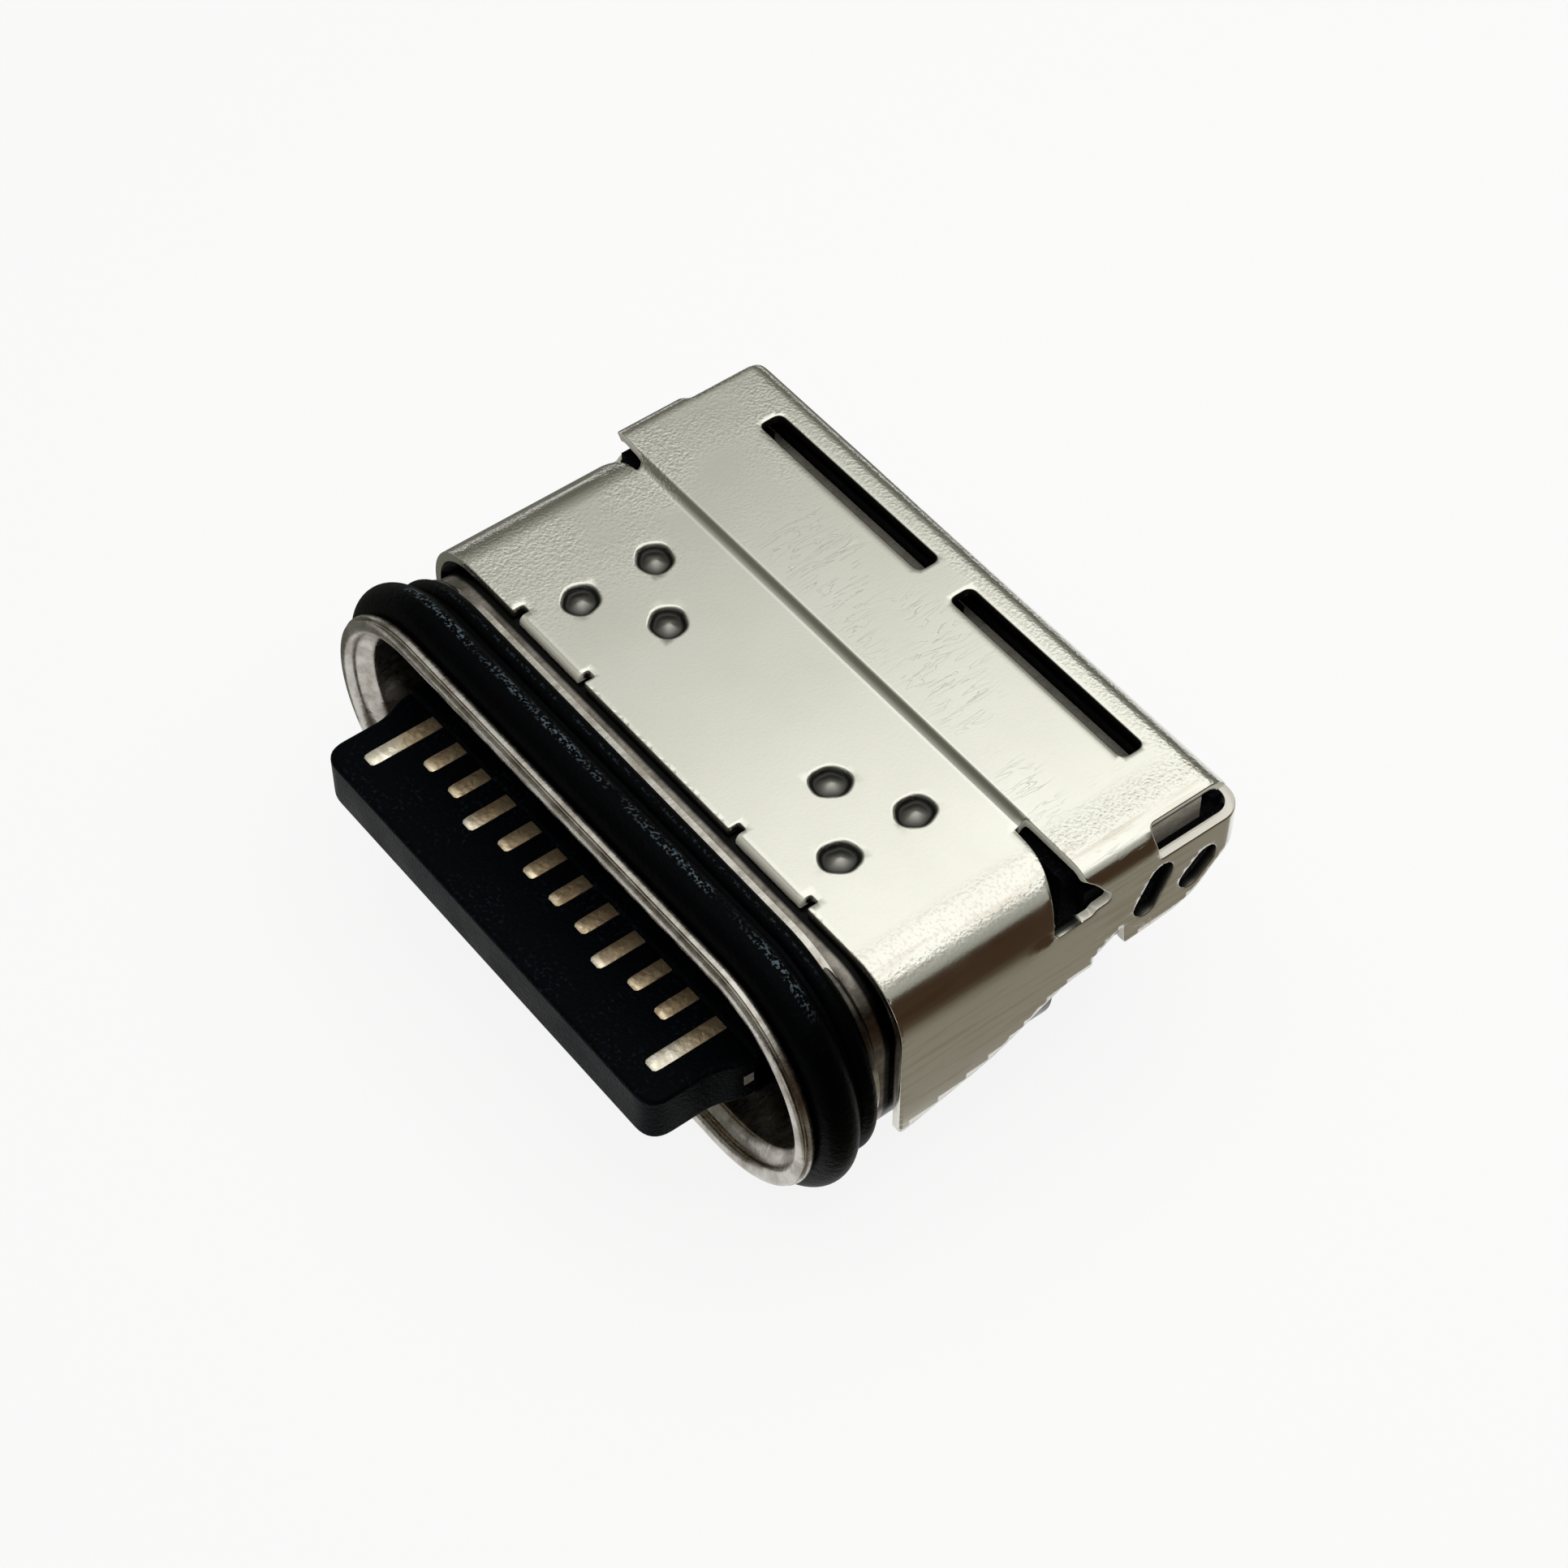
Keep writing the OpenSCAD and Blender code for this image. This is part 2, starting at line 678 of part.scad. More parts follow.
// Moulded block under the rear plate, through which the legs go down to the board
module rear_block() {
    color([0.07, 0.07, 0.08]) place() difference() {
        union() {
            translate([-block_hw, block_y, block_ledge])
                cube([2 * block_hw, block_back - block_y, block_top - block_ledge]);
            translate([-block_low_hw, block_y, block_bottom])
                cube([2 * block_low_hw, block_back - block_y, block_ledge - block_bottom + eps]);
        }
        translate([-carrier_hw - channel_clear, 0, -carrier_hh - channel_clear])
            cube([2 * (carrier_hw + channel_clear), carrier_end + channel_clear,
                  2 * (carrier_hh + channel_clear)]);
        for (n = [1:contact_count]) {
            upper_contact(n, contact_w + 2 * channel_clear);
            lower_contact(n, contact_w + 2 * channel_clear);
        }
        // inspection pocket over the front row of solder tails
        translate([-block_low_hw + 0.2, lower_leg_y - 0.1, -board_h])
            cube([2 * block_low_hw - 0.4, tail_len + 0.4, 0.5]);
        // wells under the two slots
        for (s = [-1, 1])
            translate([s * (slot_gap + slot_len) / 2, rear_y - slot_back - slot_w / 2, block_top])
                cube([slot_len, slot_w + 0.1, 0.9], center = true);
    }
}

mouth_shell();
seal_ring();
inner_shell();
top_cover();
rear_bracket();
bottom_plate();
tongue_body();
latch_plate();
upper_carrier();
lower_carrier();
upper_ground_plate();
lower_ground_plate();
potting_seal();
rear_block();
for (n = [1:12]) {
    contact_a(n);
    contact_b(n);
}
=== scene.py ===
"""Looks of the waterproof type C socket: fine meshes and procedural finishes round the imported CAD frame.

Sizes are in millimetres about the mouth (y = 0 at the lip, z = 0 in the middle of the tongue), as in
the part's source. place() turns them into metres in the row frame, from where the CAD says the mouth is.
"""
import math

import bmesh
import bpy
import numpy as np
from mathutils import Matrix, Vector
from mathutils.geometry import delaunay_2d_cdt


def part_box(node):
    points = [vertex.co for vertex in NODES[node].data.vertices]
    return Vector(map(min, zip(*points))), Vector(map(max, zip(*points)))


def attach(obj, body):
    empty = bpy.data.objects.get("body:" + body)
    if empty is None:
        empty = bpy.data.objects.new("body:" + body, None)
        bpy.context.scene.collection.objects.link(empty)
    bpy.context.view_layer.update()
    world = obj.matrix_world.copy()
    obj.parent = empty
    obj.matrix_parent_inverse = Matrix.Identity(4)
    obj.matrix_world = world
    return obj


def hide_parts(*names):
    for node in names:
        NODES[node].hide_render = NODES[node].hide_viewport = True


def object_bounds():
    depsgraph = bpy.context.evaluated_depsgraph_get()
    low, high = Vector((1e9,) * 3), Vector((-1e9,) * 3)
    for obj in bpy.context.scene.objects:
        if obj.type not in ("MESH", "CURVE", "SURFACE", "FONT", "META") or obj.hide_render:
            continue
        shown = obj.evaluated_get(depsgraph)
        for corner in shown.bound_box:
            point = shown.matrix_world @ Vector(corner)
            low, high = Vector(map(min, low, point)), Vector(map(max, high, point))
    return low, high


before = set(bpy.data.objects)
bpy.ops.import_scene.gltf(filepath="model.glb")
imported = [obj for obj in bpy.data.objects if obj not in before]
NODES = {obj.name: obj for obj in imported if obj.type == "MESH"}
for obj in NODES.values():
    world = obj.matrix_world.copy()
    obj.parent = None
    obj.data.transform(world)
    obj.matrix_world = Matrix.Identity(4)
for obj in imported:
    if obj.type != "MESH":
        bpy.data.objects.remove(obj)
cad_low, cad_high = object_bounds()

MM = 0.001

# --- Sizes, in millimetres -------------------------------------------------------------------
BORE_R, CORE = 1.28, 2.89
SHELL_T, LIP_FLARE, LIP_LEN, GROOVE_DEPTH = 0.22, 0.15, 0.30, 0.05
CUP_R = BORE_R + SHELL_T
CUP_LEN, FLANGE_T, FLANGE_RIM = 1.06, 0.12, 0.05
INNER_HW, INNER_HH, INNER_R, INNER_T, INNER_END = 4.28, 1.34, 0.90, 0.12, 3.80
SEAL_RISE, RIDGE_DROP, FRONT_RIDGE_R, REAR_RIDGE_R, SEAL_WEB = 0.362, 0.165, 0.27, 0.13, 0.14
TONGUE_W, TIP_W, TONGUE_T, TONGUE_OUT, TIP_R = 6.69, 6.42, 0.70, 1.07, 0.30
SKIN_FRONT, SKIN_T = 0.25, 0.05
ROOT_FRONT, ROOT_BACK, ROOT_HH, ROOT_SIDE = 0.76, 1.26, 0.62, 0.15
PITCH, CONTACT_W, CONTACT_T, CONTACT_PROUD, CONTACT_BEND = 0.50, 0.22, 0.12, 0.012, 0.12
TAIL_LEN, LEG_IN, LEG_GAP = 0.55, 0.34, 0.84
SHEET_T = 0.12
COVER_HW, COVER_TOP, BEND_R = 4.46, 1.49, 0.80
PLATE_TOP, FOLD_R = 1.61, 0.32
COVER_FRONT, STEP_Y, REAR_Y = 1.42, 4.00, 6.28
HEEL_Y, BLOCK_BACK = REAR_Y - 1.36, REAR_Y - 0.58
SLOT_X, SLOT_HALF, SLOT_HALF_W, SLOT_BACK, SLOT_R = 1.81, 1.53, 0.165, 0.65, 0.11

low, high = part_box("mouth_shell")
MOUTH = Vector(((low.x + high.x) / 2, low.y, (low.z + high.z) / 2))
BOARD_Z = -MOUTH.z / MM


def place(x, y, z):
    """A point in millimetres about the mouth, as metres in the row frame."""
    return MOUTH + Vector((x, y, z)) * MM


def new_object(name, verts, faces, smooth_angle=35):
    """A shaded mesh object from points in millimetres about the mouth."""
    mesh = bpy.data.meshes.new(name)
    mesh.from_pydata([place(*v) for v in verts], [], faces)
    bm = bmesh.new()
    bm.from_mesh(mesh)
    bmesh.ops.remove_doubles(bm, verts=bm.verts, dist=1e-8)
    bmesh.ops.recalc_face_normals(bm, faces=bm.faces)
    for edge in bm.edges:
        edge.smooth = not edge.is_manifold or edge.calc_face_angle(0) < math.radians(smooth_angle)
    for face in bm.faces:
        face.smooth = True
    bm.to_mesh(mesh)
    bm.free()
    obj = bpy.data.objects.new(name, mesh)
    bpy.context.scene.collection.objects.link(obj)
    return obj


def finish_piece(obj, material, slot, *nodes):
    """Gives a piece its material and lets it stand for its CAD nodes, which it hides; slot is not used."""
    obj.data.materials.append(material)
    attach(obj, "root")
    if nodes:
        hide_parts(*nodes)
    return obj


# --- Materials --------------------------------------------------------------------------------
class Nodes:
    """A material's node tree, with short calls for the nodes used here."""

    def __init__(self, name):
        self.material = bpy.data.materials.new(name)
        self.material.use_nodes = True
        self.tree = self.material.node_tree
        self.shader = self.tree.nodes["Principled BSDF"]
        coords = self.add("ShaderNodeTexCoord")
        self.coords = self.add("ShaderNodeMapping")
        self.coords.inputs["Scale"].default_value = (1 / MM,) * 3
        self.link(coords.outputs["Object"], self.coords.inputs["Vector"])

    def add(self, kind, **settings):
        node = self.tree.nodes.new(kind)
        for key, value in settings.items():
            setattr(node, key, value)
        return node

    def link(self, a, b):
        self.tree.links.new(a, b)

    def noise(self, scale, detail=3.0, rough=0.5, stretch=(1, 1, 1), distortion=0.0):
        """Noise of so many bumps a millimetre, stretched along the axes."""
        turn = self.add("ShaderNodeMapping")
        turn.inputs["Scale"].default_value = stretch
        self.link(self.coords.outputs[0], turn.inputs["Vector"])
        node = self.add("ShaderNodeTexNoise")
        node.inputs["Scale"].default_value = scale
        node.inputs["Detail"].default_value = detail
        node.inputs["Roughness"].default_value = rough
        node.inputs["Distortion"].default_value = distortion
        self.link(turn.outputs[0], node.inputs["Vector"])
        return node.outputs["Fac"]

    def ramp(self, value, *stops):
        """Colour ramp with stops of (place, colour or grey)."""
        node = self.add("ShaderNodeValToRGB")
        elements = node.color_ramp.elements
        while len(elements) < len(stops):
            elements.new(0.5)
        for element, (at, colour) in zip(elements, stops):
            element.position = at
            grey = isinstance(colour, (int, float))
            element.color = (colour, colour, colour, 1) if grey else (*colour, 1)
        self.link(value, node.inputs["Fac"])
        return node.outputs["Color"]

    def feed(self, socket, value):
        """Sets a number or a colour on a socket, or links another socket to it."""
        if isinstance(value, (int, float)):
            socket.default_value = value
        elif isinstance(value, tuple):
            socket.default_value = (*value, 1)
        else:
            self.link(value, socket)

    def math(self, kind, a, b):
        node = self.add("ShaderNodeMath", operation=kind)
        for value, socket in zip((a, b), node.inputs):
            self.feed(socket, value)
        return node.outputs[0]

    def mix(self, factor, a, b):
        node = self.add("ShaderNodeMix", data_type="RGBA")
        for name, value in (("Factor", factor), ("A", a), ("B", b)):
            self.feed(node.inputs[name], value)
        return node.outputs["Result"]

    def axis(self, index):
        """The x, y or z place on the piece, in millimetres in the row frame."""
        node = self.add("ShaderNodeSeparateXYZ")
        self.link(self.coords.outputs[0], node.inputs[0])
        return node.outputs[index]

    def span(self, value, start, end):
        """0 before start, 1 after end, and smooth between them."""
        node = self.add("ShaderNodeMapRange", interpolation_type="SMOOTHSTEP")
        node.inputs["From Min"].default_value = start
        node.inputs["From Max"].default_value = end
        self.link(value, node.inputs["Value"])
        return node.outputs["Result"]

    def band(self, value, start, full, fade, end):
        """1 from full to fade, and falling smoothly to 0 at start and at end."""
        return self.math("MULTIPLY", self.span(value, start, full),
                         self.math("SUBTRACT", 1.0, self.span(value, fade, end)))

    def bump(self, height, distance, under=None):
        """Bump of a height from 0 to 1 that is distance millimetres deep."""
        node = self.add("ShaderNodeBump")
        node.inputs["Strength"].default_value = 1.0
        node.inputs["Distance"].default_value = distance * MM
        self.link(height, node.inputs["Height"])
        if under is not None:
            self.link(under, node.inputs["Normal"])
        return node.outputs["Normal"]

    def out(self, colour, roughness, normal, **fixed):
        """Feeds the shader, with other sockets set to fixed values, and gives the material."""
        for name, value in (("Base Color", colour), ("Roughness", roughness), ("Normal", normal)):
            self.feed(self.shader.inputs[name], value)
        for name, value in fixed.items():
            self.shader.inputs[name.replace("_", " ")].default_value = value
        return self.material


def cover_steel():
    """Bright stamped steel: orange peel on the left and in the folds, scratches on the rear plate, dark
    weld burns, a painted dark-brown reflection in streaks on the right side, and painted near-black shade
    on its underside and round its holes.
    """
    n = Nodes("cover_steel")
    x, y, z = n.axis(0), n.axis(1), n.axis(2)
    patches = n.noise(0.6, 2.0)
    left = n.math("SUBTRACT", 1.0, n.span(x, -4.0, -1.6))
    bend = n.band(x, 3.5, 3.8, 3.95, 4.2)
    rear_fold = n.math("MULTIPLY", n.band(y, 3.05, 3.3, 3.5, 3.62), n.span(z, 3.0, 3.3))
    mask = n.math("MULTIPLY", left, n.span(patches, 0.30, 0.55))
    mask = n.math("MAXIMUM", mask, n.math("MULTIPLY", bend, 0.9))
    mask = n.math("MAXIMUM", mask, n.math("MULTIPLY", rear_fold, 0.7))
    mask = n.math("ADD", n.math("MULTIPLY", mask, 0.94), 0.04)
    peel = n.noise(24.0, 1.0, 0.5)
    scratches = n.noise(3.0, 2.0, 0.5, stretch=(3.4, 0.6, 1), distortion=1.2)
    lines_only = n.band(scratches, 0.55, 0.562, 0.566, 0.578)
    worn = n.math("MULTIPLY", n.band(y, 1.3, 1.7, 2.5, 2.9), n.span(patches, 0.40, 0.55))
    worn = n.math("ADD", n.math("MULTIPLY", worn, 0.6), 0.02)
    scratch_mask = n.math("MULTIPLY", lines_only, worn)
    grain = n.noise(40.0, 2.0, 0.5)
    normal = n.bump(n.math("MULTIPLY", peel, mask), 0.007)
    normal = n.bump(n.math("MULTIPLY", scratch_mask, -1.0), 0.002, under=normal)
    normal = n.bump(grain, 0.0004, under=normal)
    colour = n.mix(n.ramp(patches, (0.3, 0.0), (0.75, 1.0)), (0.70, 0.695, 0.635), (0.75, 0.745, 0.69))
    speck = n.math("MULTIPLY", n.span(peel, 0.54, 0.62), mask)
    colour = n.mix(n.math("MULTIPLY", speck, 0.30), colour, (0.40, 0.39, 0.33))
    # Painted reflection: dark brown, broken into streaks along y, on the right side from its bend down the
    # wall.
    painted_reflection_streaks = n.noise(9.0, 2.0, 0.5, stretch=(1, 0.08, 1))
    painted_reflection_streaks = n.math("MULTIPLY", n.span(painted_reflection_streaks, 0.48, 0.66), n.span(x, 3.7, 3.95))
    colour = n.mix(n.math("MULTIPLY", painted_reflection_streaks, 0.30), colour, (0.45, 0.36, 0.26))
    colour = n.mix(n.math("MULTIPLY", scratch_mask, 0.40), colour, (0.30, 0.29, 0.25))
    # burn_and_shade: the welds' own burn, and painted near-black shade on the sheet's underside and along
    # the edges of its holes.
    burn_and_shade = n.add("ShaderNodeAttribute", attribute_name="burn_and_shade").outputs["Fac"]
    colour = n.mix(n.math("MULTIPLY", burn_and_shade, 0.97), colour, (0.012, 0.012, 0.012))
    sheared = n.add("ShaderNodeAttribute", attribute_name="sheared").outputs["Fac"]
    colour = n.mix(n.math("MULTIPLY", sheared, 0.9), colour, (0.90, 0.86, 0.78))
    n.link(n.math("SUBTRACT", 1.0, n.math("MULTIPLY", sheared, 0.85)), n.shader.inputs["Metallic"])
    roughness = n.ramp(n.noise(1.6, 3.0), (0.25, 0.14), (0.8, 0.21))
    roughness = n.math("ADD", roughness, n.math("MULTIPLY", burn_and_shade, 0.22))
    return n.out(colour, roughness, normal)


def drawn_steel(name, pale, dark, shade_from=None, metallic=1.0):
    """Drawn steel with faint drawing marks and darker stains, and painted near-black shade behind a given
    y.
    """
    n = Nodes(name)
    marks = n.noise(11.0, 3.0, 0.6, stretch=(1, 0.4, 1))
    stains = n.noise(3.2, 4.0, 0.65)
    normal = n.bump(marks, 0.005)
    colour = n.mix(n.ramp(stains, (0.40, 0.0), (0.62, 1.0)), pale, dark)
    if shade_from is not None:
        # Painted shade: near black from shade_from millimetres behind the lip onwards, where the steel runs
        # in under the cover.
        start = MOUTH.y / MM + shade_from
        colour = n.mix(n.span(n.axis(1), start, start + 0.05), colour, (0.006, 0.006, 0.006))
    roughness = n.ramp(marks, (0.3, 0.22), (0.7, 0.36))
    return n.out(colour, roughness, normal, Metallic=metallic)


def seal_rubber():
    """Black silicone, with a painted bluish speckled highlight along the upper side of the front ridge's
    crest, fainter on the rear ridge.
    """
    n = Nodes("seal_rubber")
    y, z = n.axis(1), n.axis(2)
    lip, crest = MOUTH.y / MM, MOUTH.z / MM + CUP_R + SEAL_RISE
    skin = n.noise(13.0, 2.0, 0.6, distortion=0.5)
    specks = n.span(n.noise(24.0, 1.0), 0.52, 0.60)
    # Painted highlight: bluish specks on the upper side of the ridges' crests, where the light catches
    # them.
    front = n.band(y, lip + 0.49, lip + 0.54, lip + 0.58, lip + 0.66)
    front = n.math("MULTIPLY", front, n.span(n.noise(1.6, 1.0), 0.30, 0.60))
    rear = n.band(y, lip + 0.90, lip + 0.92, lip + 0.93, lip + 0.96)
    crest_highlight_specks = n.math("MAXIMUM", front, n.math("MULTIPLY", rear, 0.2))
    crest_highlight_specks = n.math("MULTIPLY", crest_highlight_specks, n.span(z, crest - 0.45, crest - 0.12))
    crest_highlight_specks = n.math("MULTIPLY", crest_highlight_specks, specks)
    normal = n.bump(n.noise(30.0, 2.0), 0.003, under=n.bump(skin, 0.012))
    colour = n.mix(crest_highlight_specks, (0.0004, 0.0004, 0.0006), (0.10, 0.135, 0.165))
    return n.out(colour, 0.42, normal, Specular_IOR_Level=0.035, Specular_Tint=(0.75, 0.87, 1.0, 1))


def black_plastic(name, colour, shine, grain):
    """Black moulded plastic with a fine spark-eroded grain and faint bluish specks."""
    n = Nodes(name)
    fine = n.noise(26.0, 2.0, 0.5)
    cloud = n.noise(1.8, 3.0)
    specks = n.math("MULTIPLY", n.span(n.noise(20.0, 1.0), 0.56, 0.68), n.span(cloud, 0.42, 0.62))
    tint = n.mix(specks, colour, tuple(c * 4 + d for c, d in zip(colour, (0.0, 0.004, 0.008))))
    rough = n.ramp(cloud, (0.3, shine), (0.7, shine + 0.12))
    return n.out(tint, rough, n.bump(fine, grain), Specular_IOR_Level=0.025,
                 Specular_Tint=(0.8, 0.9, 1.0, 1))


def potting_resin():
    """Dark, glossy poured resin with slow waves."""
    n = Nodes("potting_resin")
    wave = n.noise(1.5, 2.0)
    colour = n.mix(wave, (0.03, 0.027, 0.022), (0.07, 0.06, 0.05))
    return n.out(colour, 0.18, n.bump(wave, 0.03))


def contact_gold():
    """Pale gold plating, brownish in blotches, with painted light making it paler and brighter towards the
    tips, out of the mouth.
    """
    n = Nodes("contact_gold")
    y = n.axis(1)
    lip = MOUTH.y / MM
    # Painted light: the blades turn paler and brighter, and show fewer stains, where they stand out of the
    # mouth.
    tip = n.math("SUBTRACT", 1.0, n.span(y, lip - 0.50, lip - 0.05))
    blotch = n.noise(5.0, 3.0, 0.6, distortion=1.2)
    clean = n.math("SUBTRACT", 1.0, n.math("MULTIPLY", tip, 0.6))
    stain = n.math("MULTIPLY", n.span(blotch, 0.44, 0.62), clean)
    colour = n.mix(tip, (0.80, 0.63, 0.40), (1.0, 0.96, 0.82))
    colour = n.mix(n.math("MULTIPLY", stain, 0.75), colour, (0.40, 0.27, 0.16))
    roughness = n.ramp(blotch, (0.3, 0.26), (0.7, 0.44))
    normal = n.bump(n.noise(14.0, 2.0), 0.006)
    return n.out(colour, roughness, normal, Metallic=0.92)


# --- Rings that run round the mouth ------------------------------------------------------------
def ring_path(half_w, half_h, arc_steps, straight_steps):
    """Core points and outward directions of a rounded rectangle, anticlockwise from the front."""
    corners = [(half_w, -half_h), (half_w, half_h), (-half_w, half_h), (-half_w, -half_h)]
    path = []
    for index, (cx, cz) in enumerate(corners):
        start = (index - 1) * math.pi / 2
        for step in range(arc_steps + 1):
            angle = start + step / arc_steps * math.pi / 2
            path.append((cx, cz, math.cos(angle), math.sin(angle)))
        nx, nz = corners[(index + 1) % 4]
        for step in range(1, straight_steps):
            part = step / straight_steps
            path.append((cx + (nx - cx) * part, cz + (nz - cz) * part, math.cos(angle), math.sin(angle)))
    return path


def ring(name, core, profile, arc_steps=28, straight_steps=40, smooth_angle=50):
    """Sweeps a closed profile of (distance from the core, y) round the mouth."""
    path = ring_path(*core, arc_steps, straight_steps)
    verts = [(cx + d * nx, y, cz + d * nz) for cx, cz, nx, nz in path for d, y in profile]
    count, rows = len(profile), len(path)
    faces = [
        (r * count + c, r * count + (c + 1) % count,
         (r + 1) % rows * count + (c + 1) % count, (r + 1) % rows * count + c)
        for r in range(rows) for c in range(count)]
    return new_object(name, verts, faces, smooth_angle)


def arc(cx, cy, radius, start, end, steps):
    """Points of an arc between two angles in degrees."""
    angles = [math.radians(start + (end - start) * i / steps) for i in range(steps + 1)]
    return [(cx + radius * math.cos(a), cy + radius * math.sin(a)) for a in angles]


def along(a, b, steps):
    """Points from a up to, but without, b."""
    return [(a[0] + (b[0] - a[0]) * i / steps, a[1] + (b[1] - a[1]) * i / steps) for i in range(steps)]


def mouth_profile():
    """Section of the drawn cup: round lip with a fine groove, flare, bore and outside."""
    edge = SHELL_T / 2
    crown = BORE_R + LIP_FLARE + edge
    flare = [
        (BORE_R + LIP_FLARE * 0.5 * (1 + math.cos(math.pi * t)), edge + (LIP_LEN - edge) * t)
        for t in (0.12, 0.3, 0.5, 0.7, 0.88, 1.0)]
    bore = along((BORE_R, LIP_LEN + 0.05), (BORE_R, CUP_LEN + FLANGE_T), 4) + [(BORE_R, CUP_LEN + FLANGE_T)]
    outside = [(CUP_R, CUP_LEN + FLANGE_T), (CUP_R, CUP_LEN), (CUP_R, SHELL_T + 0.03),
               (CUP_R + 0.04, SHELL_T - 0.02)]
    groove = arc(crown, edge, edge - GROOVE_DEPTH, -22, -34, 1)
    lip = arc(crown, edge, edge, 40, -14, 7) + groove + arc(crown, edge, edge, -42, -180, 16)
    return lip + flare + bore + outside


def seal_profile():
    """Section of the seal: a wide front ridge and a lower rear one, joined by a thin web."""
    front, back, web = SHELL_T, CUP_LEN, CUP_R + SEAL_WEB
    y_front, y_rear = front + FRONT_RIDGE_R, back - REAR_RIDGE_R
    crown_front = CUP_R + SEAL_RISE - FRONT_RIDGE_R
    crown_rear = CUP_R + SEAL_RISE - RIDGE_DROP - REAR_RIDGE_R
    points = along((CUP_R + 0.005, front + 0.02), (crown_front, front), 3)
    points += arc(crown_front, y_front, FRONT_RIDGE_R, -90, 80, 30)
    points += [(web, (y_front + FRONT_RIDGE_R + y_rear - REAR_RIDGE_R) / 2)]
    points += arc(crown_rear, y_rear, REAR_RIDGE_R, -60, 90, 18)
    points += [(CUP_R + 0.03, back), (CUP_R + 0.005, back - 0.02)]
    return points + along((CUP_R + 0.005, back - 0.08), (CUP_R + 0.005, front + 0.06), 8)


def flange_profile():
    """Section of the flange behind the seal, rounded on its rim."""
    rim = INNER_R + FLANGE_RIM
    edge = FLANGE_T / 2
    middle = CUP_LEN + edge
    return (arc(rim - edge, middle, edge, -90, 90, 10)
            + [(INNER_R - INNER_T - 0.10, CUP_LEN + FLANGE_T), (INNER_R - INNER_T - 0.10, CUP_LEN)])


def inner_profile():
    """Section of the inner shell, with a softened front edge."""
    front, back = CUP_LEN + FLANGE_T, INNER_END
    inner = INNER_R - INNER_T
    outer_line = along((INNER_R, front + 0.02), (INNER_R, back - 0.03), 10)
    return (outer_line + [(INNER_R, back - 0.02), (INNER_R - 0.02, back), (inner, back),
                          (inner, front), (INNER_R - 0.02, front)])


# --- The folded cover --------------------------------------------------------------------------
# The cover is meshed flat, as its blank, in (p, q): p runs from the middle over the side bend and
# down the wall, q from the front edge over the rear bend. fold() then bends each point to its place.
RELIEF_X, WALL_P, WALL_Z = 3.32, 4.92, 0.94
RELIEF_LEFT, RELIEF_Y, RELIEF_SWEEP = COVER_HW - 0.62, STEP_Y - 0.08, 0.34
SLIT_Y = STEP_Y - 0.04
STEP_TOP_Y, LUG_Y = STEP_Y + 0.09, STEP_Y + 0.05
WINDOW_Y, WINDOW_X = REAR_Y - 1.22, COVER_HW - 0.22
ARM_R, ARM_TOP, ARM_LAP = 0.34, PLATE_TOP - FOLD_R - 0.11, 0.46
ARM_BACK = REAR_Y + SHEET_T - 0.001
REAR_WALL_X, REAR_WALL_Z = COVER_HW - 0.60, 0.35
ARM_Q = ARM_BACK - ARM_R
ARM_ARC = ARM_R * math.pi / 2
BEND_Q = REAR_Y - FOLD_R
TAB_X, TAB_HALF, NOTCH_W = 2.07, 0.585, 0.12
TAB_BEND, TAB_DROP = 0.10, 0.15
TAB_Q = COVER_FRONT + TAB_BEND
LEFT_CORNER = 0.12
# Each side window: its middle's distance from the rear edge, its height, lean, length and width
SIDE_WINDOWS = ((1.24, 0.68, 28, 0.78, 0.36), (0.57, 0.59, 46, 0.62, 0.34))
WELD_R, WELD_PIT, WELD_DOME = 0.255, 0.085, 0.055
WELDS = [(s * x, y) for s in (-1, 1) for x, y in ((2.43, 2.15), (2.43, 3.22), (1.52, 2.74))]

FRONT_FLAT = COVER_HW - BEND_R - RELIEF_X
FRONT_ANGLE = math.acos((WALL_Z - (COVER_TOP - BEND_R)) / BEND_R)
FRONT_LEN = FRONT_FLAT + BEND_R * FRONT_ANGLE
REAR_FLAT = COVER_HW - FOLD_R - RELIEF_X
REAR_ARC = FOLD_R * math.pi / 2
REAR_LEN = REAR_FLAT + REAR_ARC + (PLATE_TOP - FOLD_R - WALL_Z)
BLANK = WALL_P - RELIEF_X
# The sheet's mesh: longest edge of its outlines, room that the grid leaves beside them, the two
# rows of points that round their edges, how far the outer face rolls down there, and how near
# a point counts as lying on an outline
OUTLINE_STEP, GRID_ROOM, ROLL_ROWS, ROLL, ON_EDGE = 0.05, 0.028, (0.006, 0.017), 0.014, 0.003
ARM_SIDE_P = RELIEF_X + (REAR_FLAT + REAR_ARC * 0.8) * BLANK / REAR_LEN


def smooth(value, start, end):
    """0 before start, 1 after end, and smooth between them."""
    part = min(max((value - start) / (end - start), 0.0), 1.0)
    return part * part * (3 - 2 * part)


def wall_p(z):
    """Place on the blank of a point of the side wall, or of the rear fold, at height z."""
    if z <= WALL_Z:
        return WALL_P + WALL_Z - z
    fold_low = PLATE_TOP - FOLD_R
    if z <= fold_low:
        length = REAR_LEN - (z - WALL_Z)
    else:
        length = REAR_FLAT + FOLD_R * math.acos(min((z - fold_low) / FOLD_R, 1.0))
    return RELIEF_X + length * BLANK / REAR_LEN


def plate_p(x):
    """Place on the blank of a point x of the rear plate, past the relief slit."""
    past = max(x - (COVER_HW - FOLD_R), 0.0)
    length = min(x - RELIEF_X, REAR_FLAT) + FOLD_R * math.asin(past / FOLD_R)
    return RELIEF_X + length * BLANK / REAR_LEN


